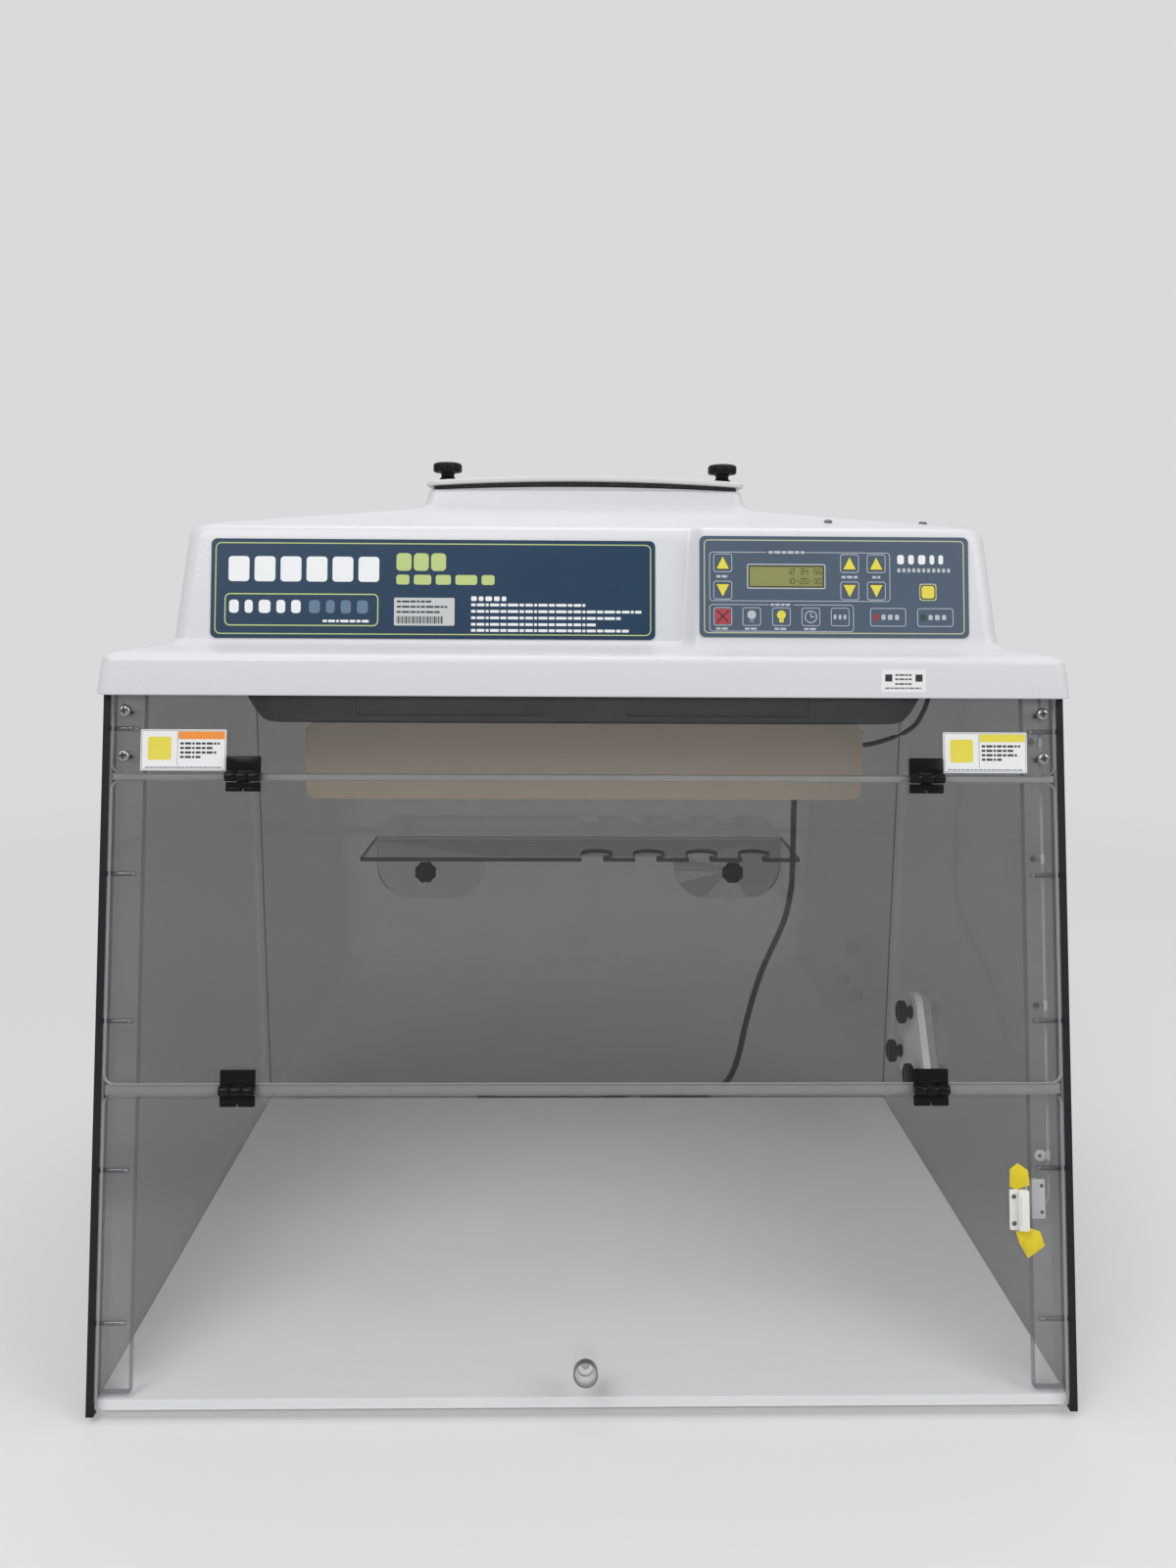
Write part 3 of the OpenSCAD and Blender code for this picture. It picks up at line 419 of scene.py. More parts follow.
@dataclass(frozen=True)
class Pleats(Finish):
    """Filter paper folded into pleats along X."""

    colour: Colour = (0.84, 0.83, 0.78)
    pitch_mm: float = 3.0

    def shade(self, s: Shader) -> Value:
        """Folds as bands, with painted shade in each valley, and paper fibre."""
        folds = 1000.0 / self.pitch_mm / 6.28
        band = s.node("ShaderNodeTexWave", {"bands_direction": "X", "wave_profile": "TRI"},
                      {"Vector": s.place(), "Scale": folds, "Distortion": 0.4})
        # Painted shade: colour falls to 0.7 of the paper's where the fold's bump is lowest.
        return s.principled(
            Base_Color=s.mix(band, tone(self.colour, 0.7), self.colour), Roughness=0.85,
            Normal=s.bump(s.noise(0.7, 4.0), 0.05, s.bump(band, 0.8)))


@dataclass(frozen=True)
class Board(Finish):
    """Circuit board with tracks under green lacquer."""

    colour: Colour = (0.03, 0.16, 0.07)

    def shade(self, s: Shader) -> Value:
        """Tracks from a brick pattern."""
        turned = s.node("ShaderNodeMapping",
                        inputs={"Vector": s.place(), "Rotation": (math.pi / 2, 0.0, 0.0)})
        track = s.node("ShaderNodeTexBrick", {"offset": 0.5}, {
            "Vector": turned, "Scale": 90.0, "Mortar Size": 0.05, "Color1": (0, 0, 0, 1),
            "Color2": (0.2, 0.2, 0.2, 1), "Mortar": (1, 1, 1, 1)})
        return s.principled(Base_Color=s.mix(track, self.colour, (0.12, 0.36, 0.16)),
                            Roughness=0.35 + s.noise(5.0) * 0.1, Normal=s.bump(track, 0.08))


@dataclass(frozen=True)
class Tape(Finish):
    """Creped adhesive tape."""

    colour: Colour = (0.8, 0.62, 0.015)

    def shade(self, s: Shader) -> Value:
        """Fine wrinkles and worn colour."""
        crepe = s.streaks((1.0, 0.25, 0.25), 900.0, 3.0)
        return s.principled(
            Base_Color=s.mix(s.noise(9.0, 3.0), tone(self.colour, 0.72), self.colour),
            Roughness=0.6 + crepe * 0.2, Normal=s.bump(crepe, 0.12))


def ink(name: str, colour: Colour, cloud: float = 0.04, rough: float = 0.42) -> Moulded:
    """Return a printing ink of that colour."""
    return Moulded("ink_" + name, colour, rough, 0.6, 0.003, cloud)


LEVEL_FACE = ((0.0, 0.0, 1.0),)
ACROSS = ((1.0, 0.0, 0.0),)
ENDWISE = ((0.0, 1.0, 0.0),)
SLOPE_FACE = ((0.0, -math.cos(LEAN), math.sin(LEAN)),)
WHITE_SHELL = OrangePeel("white_shell")
WHITE_LID = Moulded("white_lid", (0.64, 0.64, 0.61), 0.34, 1.0, 0.015, 0.02)
WORKTOP = Moulded("white_worktop", (0.92, 0.925, 0.93), 0.32, 0.8, 0.006, 0.02)
SMOKE_SIDE = Acrylic("smoke_side", (0.5, 0.498, 0.496), (0.012, 0.013, 0.016), 0.97, 0.006,
                     ACROSS, 0.29, clear_share=0.85)
SMOKE_BACK = Acrylic("smoke_back", (0.445, 0.44, 0.434), (0.3, 0.3, 0.3), 0.12, 0.006, ENDWISE)
CLEAR_FRONT = Acrylic("clear_front", (0.982, 0.986, 0.986), (0.52, 0.53, 0.54), 0.75, 0.006,
                      SLOPE_FACE, mirror=0.022)
CLEAR_STRIP = Acrylic("clear_strip", (0.965, 0.97, 0.97), (0.17, 0.165, 0.2), 0.62, 0.02,
                      SLOPE_FACE)
CLEAR_SHELF = Acrylic("clear_shelf", (0.985, 0.99, 0.985), (0.03, 0.038, 0.04), 0.88, 0.003,
                      LEVEL_FACE, 0.29, 0.01, 0.78)
FROSTED = Frosted("frosted_vinyl")
CLEAR_KNOB = ClearSolid("clear_knob")
BLACK = Moulded("black_moulding", (0.008, 0.008, 0.009), 0.4, 0.9, 0.02, 0.1, 0.0, 0.16)
BLACK_GLOSS = Moulded("black_gloss", (0.006, 0.006, 0.007), 0.22, 1.2, 0.008, 0.1, 0.0, 0.14)
RUBBER = Moulded("black_rubber", (0.02, 0.02, 0.02), 0.8, 0.5, 0.03, 0.15)
CORD_JACKET = Moulded("cord_jacket", (0.014, 0.014, 0.015), 0.45, 0.7, 0.012, 0.12)
IVORY = Moulded("ivory_moulding", (0.74, 0.73, 0.68), 0.42, 0.7, 0.015, 0.04)
GREY_LEAD = Moulded("grey_lead", (0.5, 0.51, 0.53), 0.4, 0.8, 0.01, 0.04)
NYLON = Moulded("nylon", (0.78, 0.77, 0.77), 0.35, 0.8, 0.01, 0.03)
# Painted light: the switch's ivory made paler than the magnet's, to make up for the shade it sits
# in.
SENSOR_LIT_IVORY = Moulded("sensor_grey", (0.92, 0.88, 0.88), 0.42, 0.7, 0.015, 0.04)
BEIGE = Moulded("beige_paint", (0.33, 0.272, 0.216), 0.42, 1.4, 0.02, 0.04)
LAMP_GLASS = Moulded("lamp_glass", (0.88, 0.88, 0.92), 0.12, 3.0, 0.003, 0.02, 0.5)
DECK = Moulded("dark_deck", (0.05, 0.05, 0.054), 0.55, 0.9, 0.02, 0.1)
TRAY = Moulded("grey_tray", (0.026, 0.027, 0.03), 0.55, 0.8, 0.03, 0.12)
GRILLE = Moulded("grille_paint", (0.45, 0.46, 0.47), 0.4, 1.0, 0.02, 0.05)
PORT_WHITE = Moulded("port_white", (0.8, 0.79, 0.77), 0.45, 0.8, 0.015, 0.03)
PLATE_BLUE = Moulded("plate_blue", (0.015, 0.042, 0.085), 0.34, 0.5, 0.006, 0.06, 0.0, 0.3)
PLATE_EDGE = Moulded("plate_outline", (0.1, 0.17, 0.26), 0.4, 0.6, 0.003, 0.04)
PANEL_SLATE = Moulded("panel_slate", (0.062, 0.092, 0.135), 0.36, 0.5, 0.006, 0.05)
INK_WHITE = ink("white", (0.78, 0.79, 0.8), 0.02, 0.4)
INK_YELLOW = ink("yellow", (0.72, 0.62, 0.06))
INK_CREAM = ink("cream", (0.5, 0.52, 0.33))
INK_LINE = ink("line", (0.45, 0.48, 0.52), 0.03)
# dark olive used only for the painted shadow round the inside of the display window
INK_DISPLAY_SHADE = ink("olive", (0.06, 0.06, 0.025))
INK_MAROON = ink("maroon", (0.27, 0.035, 0.05), 0.05, 0.4)
INK_LIME = ink("lime", (0.46, 0.56, 0.2))
INK_GREY = ink("grey", (0.2, 0.22, 0.25))
INK_DARK = ink("dark", (0.02, 0.024, 0.03))
INK_RED = ink("red", (0.42, 0.045, 0.06), 0.05, 0.4)
INK_GREEN = ink("green", (0.02, 0.06, 0.045), 0.05, 0.4)
INK_ORANGE = ink("orange", (0.8, 0.26, 0.03))
PAPER = Moulded("label_paper", (0.76, 0.77, 0.76), 0.5, 0.7, 0.006, 0.03)
SILVER_LABEL = Moulded("silver_label", (0.52, 0.54, 0.54), 0.36, 0.8, 0.006, 0.05)
DISPLAY = Moulded("display_olive", (0.25, 0.255, 0.085), 0.12, 2.0, 0.002, 0.05, 0.4)
SEGMENT = Moulded("display_segment", (0.05, 0.055, 0.02), 0.3, 0.6, 0.002, 0.05)
STEEL = Steel("stainless", (0.4, 0.387, 0.375))
DARK_STEEL = Steel("dark_screw", (0.16, 0.16, 0.16), 0.35)
GREY_STEEL = Steel("frame_steel", (0.55, 0.56, 0.57), 0.34, (0.05, 1.0, 1.0))
WHEEL_BLUE = Moulded("blower_plastic", (0.03, 0.06, 0.12), 0.45, 0.8, 0.02, 0.06)
MOTOR = Moulded("motor_paint", (0.06, 0.06, 0.062), 0.5, 0.6, 0.04, 0.12)
FOAM = Foam("black_foam")
PLEATS = Pleats("pleated_paper")
BOARD = Board("green_board")
TAPE = Tape("yellow_tape")

NODE_FINISH: dict[str, Finish] = {name: finish for finish, names in (
    (WORKTOP, "base_plate"), (RUBBER, "rubber_feet hank_tie"), (SMOKE_BACK, "back_panel"),
    (SMOKE_SIDE, "side_panel_left side_panel_right"), (CLEAR_STRIP, "front_strips"),
    (CLEAR_FRONT, "upper_front_panel upper_sash lower_sash"), (CLEAR_KNOB, "sash_knob"),
    (BLACK_GLOSS, "upper_hinge_fixed upper_hinge_moving lower_hinge_fixed lower_hinge_moving"),
    (BLACK_GLOSS, "power_switch"), (DARK_STEEL, "upper_hinge_pins lower_hinge_pins"),
    (IVORY, "interlock_magnet interlock_sensor"), (GREY_LEAD, "sensor_cable"),
    (NYLON, "cable_clips"), (CLEAR_SHELF, "shelf"), (PORT_WHITE, "port_cover"),
    (STEEL, "knob_studs"), (BEIGE, "light_housing"), (LAMP_GLASS, "white_lamp uv_lamp"),
    (CORD_JACKET, "lamp_cable"), (DECK, "head_deck"), (TRAY, "filter_tray"),
    (GRILLE, "outlet_grille"), (PLEATS, "main_filter"), (GREY_STEEL, "blower_frame"),
    (MOTOR, "blower_motor"), (WHEEL_BLUE, "blower_wheel"), (FOAM, "prefilter"),
    (PLATE_BLUE, "name_plate"), (PANEL_SLATE, "control_overlay"), (DISPLAY, "display"),
    (BOARD, "circuit_board"), (BLACK, "power_inlet cord_connector power_plug"),
    (WHITE_LID, "intake_lid"), (WHITE_SHELL, "head_shell")) for name in names.split()}


# Frames and mesh building


def shift(x: float, y: float, z: float) -> Matrix:
    """Return the frame moved by x, y and z, in mm."""
    return Matrix.Translation((x, y, z))


def at_depth(x: float, d: float, z: float) -> Matrix:
    """Return the frame at x and height z, d behind the front foot."""
    return shift(x, FRONT_Y + d, z)


def spun(degrees: float, axis: str) -> Matrix:
    """Return the frame turned about one of its axes."""
    return Matrix.Rotation(math.radians(degrees), 4, axis)


def on_slope() -> Matrix:
    """Return the frame of the leaning front: x across, y up the slope, z outwards, in mm."""
    return at_depth(0, 0, FOOT_H) @ Matrix.Rotation(math.pi / 2 - LEAN, 4, "X")


def on_face(jog: float) -> Matrix:
    """Return the frame of the control box's front, which stands forward by jog mm."""
    depth, height = FACE_FOOT
    return at_depth(0, depth - jog, height) @ Matrix.Rotation(math.pi / 2 - FACE_LEAN, 4, "X")


def arc(cx: float, cy: float, r: float, start: float, steps: int, sweep: float = 90) -> Flat:
    """Return points on an arc round (cx, cy), its start and sweep in degrees."""
    turns = [math.radians(start + sweep * k / steps) for k in range(steps + 1)]
    return [(cx + r * math.cos(t), cy + r * math.sin(t)) for t in turns]


def corners(w: float, h: float, r: float, steps: int) -> list[Flat]:
    """Return a rounded rectangle's four corners, from half its width and height."""
    a, b = w - r, h - r
    spots = ((a, b, 0), (-a, b, 90), (-a, -b, 180), (a, -b, 270))
    return [arc(cx, cy, r, start, steps) for cx, cy, start in spots]


def round_rect(w: float, h: float, r: float, steps: int = 5) -> Outline:
    """Return a function of an inset that gives a rounded rectangle's outline."""

    def outline(inset: float) -> Flat:
        """Outline moved inwards by inset."""
        bends = corners(w / 2 - inset, h / 2 - inset, max(r - inset, 0.02), steps)
        return [point for bend in bends for point in bend]

    return outline


def polygon(points: Flat) -> Outline:
    """Return a function of an inset that shrinks a convex outline towards its middle."""
    cx, cy = (sum(values) / len(points) for values in zip(*points))
    reach = max(math.hypot(x - cx, y - cy) for x, y in points)

    def outline(inset: float) -> Flat:
        """Outline scaled in by inset."""
        k = 1 - inset / reach
        return [(cx + (x - cx) * k, cy + (y - cy) * k) for x, y in points]

    return outline


def level(points: Flat, z: float) -> list[Spot]:
    """Return a flat outline at height z."""
    return [(x, y, z) for x, y in points]


def add_object(name: str, data: bpy.types.ID) -> bpy.types.Object:
    """Return a new object of that data, linked to the scene."""
    obj = bpy.data.objects.new(name, data)
    bpy.context.scene.collection.objects.link(obj)
    return obj


def as_mesh(obj: bpy.types.Object) -> bpy.types.Mesh:
    """Return the object with its modifiers as a plain mesh."""
    graph = bpy.context.evaluated_depsgraph_get()
    return bpy.data.meshes.new_from_object(obj.evaluated_get(graph), depsgraph=graph)


class Form:
    """A mesh under construction, in millimetres of the row frame."""

    def __init__(self, place: Matrix | None = None) -> None:
        """Start empty; what is added goes through the frame place."""
        self.place = place or Matrix.Identity(4)
        self.verts: list[Vector] = []
        self.faces: list[list[int]] = []
        self.looks: list[int] = []
        self.finishes: list[Finish] = []

    def _look(self, finish: Finish) -> int:
        """Return the index of a finish on this form."""
        if finish not in self.finishes:
            self.finishes.append(finish)
        return self.finishes.index(finish)

    def rings(self, rings: Sequence[Sequence[Spot]], finish: Finish, caps: bool = True,
              loop: bool = False, at: Matrix | None = None) -> None:
        """Join closed rings of equal count into a skin.

        Args:
            rings: the rings in order.
            finish: the skin's finish.
            caps: whether the two ends are closed.
            loop: whether the last ring joins the first.
            at: a frame inside this form's own.
        """
        base = len(self.verts)
        frame_in = self.place @ at if at is not None else self.place
        n, m = len(rings[0]), len(rings)
        self.verts += [frame_in @ Vector(p) for ring in rings for p in ring]
        new: list[list[int]] = []
        for k in range(m if loop else m - 1):
            a, b = base + k * n, base + (k + 1) % m * n
            new += [[a + i, a + (i + 1) % n, b + (i + 1) % n, b + i] for i in range(n)]
        if caps and not loop:
            new.append([base + i for i in range(n)][::-1])
            new.append([base + (m - 1) * n + i for i in range(n)])
        self.faces += new
        self.looks += [self._look(finish)] * len(new)

    def prism(self, shape: Outline, z0: float, z1: float, finish: Finish,
              bevel: float = 0.0, at: Matrix | None = None) -> None:
        """Raise an outline from z0 to z1 with a rounded upper and lower rim."""
        soft = bevel * 0.3
        steps = [(bevel, z0), (soft, z0 + soft), (0.0, z0 + bevel),
                 (0.0, z1 - bevel), (soft, z1 - soft), (bevel, z1)]
        if bevel == 0:
            steps = [(0.0, z0), (0.0, z1)]
        self.stack(shape, steps, finish, at)

    def stack(self, shape: Outline, steps: Flat, finish: Finish, at: Matrix | None = None) -> None:
        """Skin an outline through steps of (inset, height)."""
        self.rings([level(shape(inset), z) for inset, z in steps], finish, at=at)

    def lathe(self, profile: Flat, finish: Finish, sides: int = 32, at: Matrix | None = None,
              loop: bool = False) -> None:
        """Turn a profile of (radius, height) round the Z axis."""
        turns = [2 * math.pi * k / sides for k in range(sides)]
        self.rings([[(max(r, 0.01) * math.cos(t), max(r, 0.01) * math.sin(t), z) for t in turns]
                    for r, z in profile], finish, loop=loop, at=at)

    def mesh(self, name: str, looks: bool = True) -> bpy.types.Mesh:
        """Return the mesh in metres, with its finishes' materials if looks is set."""
        mesh = bpy.data.meshes.new(name)
        mesh.from_pydata([tuple(v * MM) for v in self.verts], [], self.faces)
        if looks:
            for finish in self.finishes:
                mesh.materials.append(finish.material())
            mesh.polygons.foreach_set("material_index", self.looks)
        return mesh

    def piece(self, name: str, body: str, slot: Slot, replaces: Iterable[str] = (),
              angle: float = SHARP) -> bpy.types.Object:
        """Make the object.

        Args:
            name: the piece's name.
            body: the CAD body that it rides on.
            slot: not used.
            replaces: CAD nodes that it stands for.
            angle: edges sharper than this stay sharp, in degrees.

        Returns:
            The finished object.
        """
        obj = add_object(name, self.mesh(name))
        tidy_mesh(obj, angle)
        return attach(obj, body, slot, replaces)


def tidy_mesh(obj: bpy.types.Object, angle: float) -> None:
    """Merge doubles, face outwards and shade smooth up to angle degrees."""
    work = bmesh.new()
    work.from_mesh(obj.data)
    bmesh.ops.remove_doubles(work, verts=work.verts, dist=2e-6)
    bmesh.ops.dissolve_degenerate(work, edges=work.edges, dist=1e-6)
    bmesh.ops.recalc_face_normals(work, faces=work.faces)
    work.to_mesh(obj.data)
    work.free()
    obj.data.shade_smooth()
    obj.data.set_sharp_from_angle(angle=math.radians(angle))


def attach(obj: bpy.types.Object, body: str, slot: Slot,
           replaces: Iterable[str] = ()) -> bpy.types.Object:
    """Let obj ride on body and hide the nodes it stands for."""
    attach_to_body(obj, body)
    names = list(replaces)
    if names:
        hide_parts(*names)
    log.info("%s on %s: %d faces", obj.name, body,
             len(obj.data.polygons) if obj.type == "MESH" else 0)
    return obj


@dataclass
class Repeater:
    """Geometry Nodes tree that sets a small piece at points, each turned to its own direction."""

    name: str
    pattern: Form
    finish: Finish
    spots: list[tuple[Vector, Vector]] = field(default_factory=list)

    def _tree(self) -> tuple[bpy.types.NodeTree, dict[str, str]]:
        """Return the tree and the identifiers of its named inputs."""
        tree = bpy.data.node_groups.new(self.name + "_tree", "GeometryNodeTree")
        face = tree.interface
        face.new_socket("Geometry", in_out="INPUT", socket_type="NodeSocketGeometry")
        ids = {name.lower(): face.new_socket(name, in_out="INPUT", socket_type=kind).identifier
               for name, kind in (("Piece", "NodeSocketObject"), ("Size", "NodeSocketFloat"),
                                  ("Look", "NodeSocketMaterial"))}
        face.new_socket("Geometry", in_out="OUTPUT", socket_type="NodeSocketGeometry")
        add, join = tree.nodes.new, tree.links.new
        given, result = add("NodeGroupInput"), add("NodeGroupOutput")
        info, put = add("GeometryNodeObjectInfo"), add("GeometryNodeInstanceOnPoints")
        axis = add("GeometryNodeInputNamedAttribute")
        turn = add("FunctionNodeAlignRotationToVector")
        real, look = add("GeometryNodeRealizeInstances"), add("GeometryNodeSetMaterial")
        axis.data_type = "FLOAT_VECTOR"
        axis.inputs["Name"].default_value = "way"
        turn.axis = "Z"
        for start, out, end, into in (
                (given, "Geometry", put, "Points"), (given, "Piece", info, "Object"),
                (info, "Geometry", put, "Instance"), (given, "Size", put, "Scale"),
                (axis, "Attribute", turn, "Vector"), (turn, "Rotation", put, "Rotation"),
                (put, "Instances", real, "Geometry"), (real, "Geometry", look, "Geometry"),
                (given, "Look", look, "Material"), (look, "Geometry", result, "Geometry")):
            join(start.outputs[out], end.inputs[into])
        return tree, ids

    def piece(self, body: str, slot: Slot, replaces: Iterable[str] = (),
              size: float = 1.0) -> bpy.types.Object:
        """Realise the pieces at the spots as one plain mesh on body."""
        seed_name = self.name + "_seed"
        seed = add_object(seed_name, self.pattern.mesh(seed_name, False))
        tidy_mesh(seed, SHARP)
        cloud = bpy.data.meshes.new(self.name)
        cloud.from_pydata([tuple(p * MM) for p, _ in self.spots], [], [])
        way = cloud.attributes.new("way", "FLOAT_VECTOR", "POINT")
        way.data.foreach_set("vector", [c for _, w in self.spots for c in w])
        holder = add_object(self.name + "_points", cloud)
        tree, ids = self._tree()
        modifier = holder.modifiers.new("repeat", "NODES")
        modifier.node_group = tree
        modifier[ids["piece"]] = seed
        modifier[ids["size"]] = size
        modifier[ids["look"]] = self.finish.material()
        baked = as_mesh(holder)
        obj = add_object(self.name, baked)
        holder.modifiers.remove(modifier)
        for spare in (holder, seed):
            bpy.data.objects.remove(spare)
        baked.shade_smooth()
        baked.set_sharp_from_angle(angle=math.radians(SHARP))
        return attach(obj, body, slot, replaces)


# Camera and studio


@dataclass
class Studio:
    """Camera at the photograph's place, pale floor, pale surroundings and three soft lamps."""

    eye: Spot = (-0.0175, -1.2091, 0.6757)
    pitch: float = math.radians(9.193)
    yaw: float = math.radians(1.054)
    roll: float = math.radians(0.3445)
    lens: float = 28.054
    pale: float = 0.74
    backdrop: Colour = (0.7, 0.7, 0.705)

    def camera(self) -> None:
        """Stand the camera where the photograph was taken."""
        data = bpy.data.cameras.new("camera")
        data.lens, data.sensor_width, data.clip_end = self.lens, 36.0, 50.0
        obj = add_object("camera", data)
        cp, sp = math.cos(self.pitch), math.sin(self.pitch)
        ahead = Vector((math.sin(self.yaw) * cp, math.cos(self.yaw) * cp, -sp))
        right = Vector((math.cos(self.yaw), -math.sin(self.yaw), 0))
        up = right.cross(ahead)
        cr, sr = math.cos(self.roll), math.sin(self.roll)
        x, y = cr * right + sr * up, -sr * right + cr * up
        turn = Matrix((x, y, -ahead)).transposed().to_4x4()
        obj.matrix_world = Matrix.Translation(self.eye) @ turn
        bpy.context.scene.camera = obj

    def floor(self) -> None:
        """Lay a wide pale floor."""
        mesh = bpy.data.meshes.new("floor")
        far = 30.0
        mesh.from_pydata([(-far, -far, 0), (far, -far, 0), (far, far, 0), (-far, far, 0)],
                         [], [(0, 1, 2, 3)])
        s = Shader("floor_pale")
        matt = s.principled(Base_Color=(self.pale,) * 3, Roughness=0.75)
        glow = s.node("ShaderNodeEmission",
                      inputs={"Color": (*self.backdrop, 1.0), "Strength": 1.0})
        seen = s.node("ShaderNodeLightPath", out="Is Camera Ray")
        reach_m = s.node("ShaderNodeVectorMath", {"operation": "LENGTH"}, {0: s.place()}, "Value")
        look = s.node("ShaderNodeMixShader",
                      inputs={0: seen * (reach_m.above(1.9, 1.5) * 0.72 + 0.28), 1: matt, 2: glow})
        mesh.materials.append(s.done(look))
        add_object("floor", mesh)

    def world(self) -> None:
        """Surround the scene with a pale sky that lights softly."""
        s = Shader("studio", "worlds")
        lit = s.node("ShaderNodeBackground",
                     inputs={"Color": (0.97, 0.985, 1.0, 1.0), "Strength": 0.5})
        seen = s.node("ShaderNodeBackground", inputs={"Color": (*self.backdrop, 1.0)})
        ray = s.node("ShaderNodeLightPath", out="Is Camera Ray")
        mixed = s.node("ShaderNodeMixShader", inputs={0: ray, 1: lit, 2: seen})
        bpy.context.scene.world = s.done(mixed)

    def lamp(self, name: str, place: Spot, aim: Spot, size: float, power: float) -> None:
        """Hang one square soft lamp at place, aimed at aim."""
        data = bpy.data.lights.new(name, "AREA")
        data.shape, data.size, data.energy = "SQUARE", size, power
        obj = add_object(name, data)
        way = Vector(aim) - Vector(place)
        turn = way.to_track_quat("-Z", "Y").to_matrix().to_4x4()
        obj.matrix_world = Matrix.Translation(place) @ turn

    def build(self) -> None:
        """Make camera, floor, surroundings and lamps."""
        self.camera()
        self.floor()
        self.world()
        self.lamp("lamp_key", (-1.4, -2.2, 2.9), (0.0, 0.0, 0.4), 1.8, 50.0)
        self.lamp("lamp_fill", (2.2, -1.6, 2.2), (0.0, 0.0, 0.4), 1.8, 30.0)
        self.lamp("lamp_top", (0.0, 0.6, 3.0), (0.0, 0.1, 0.6), 2.0, 27.0)
        bpy.context.scene.view_settings.view_transform = "Standard"


# Sub-assemblies


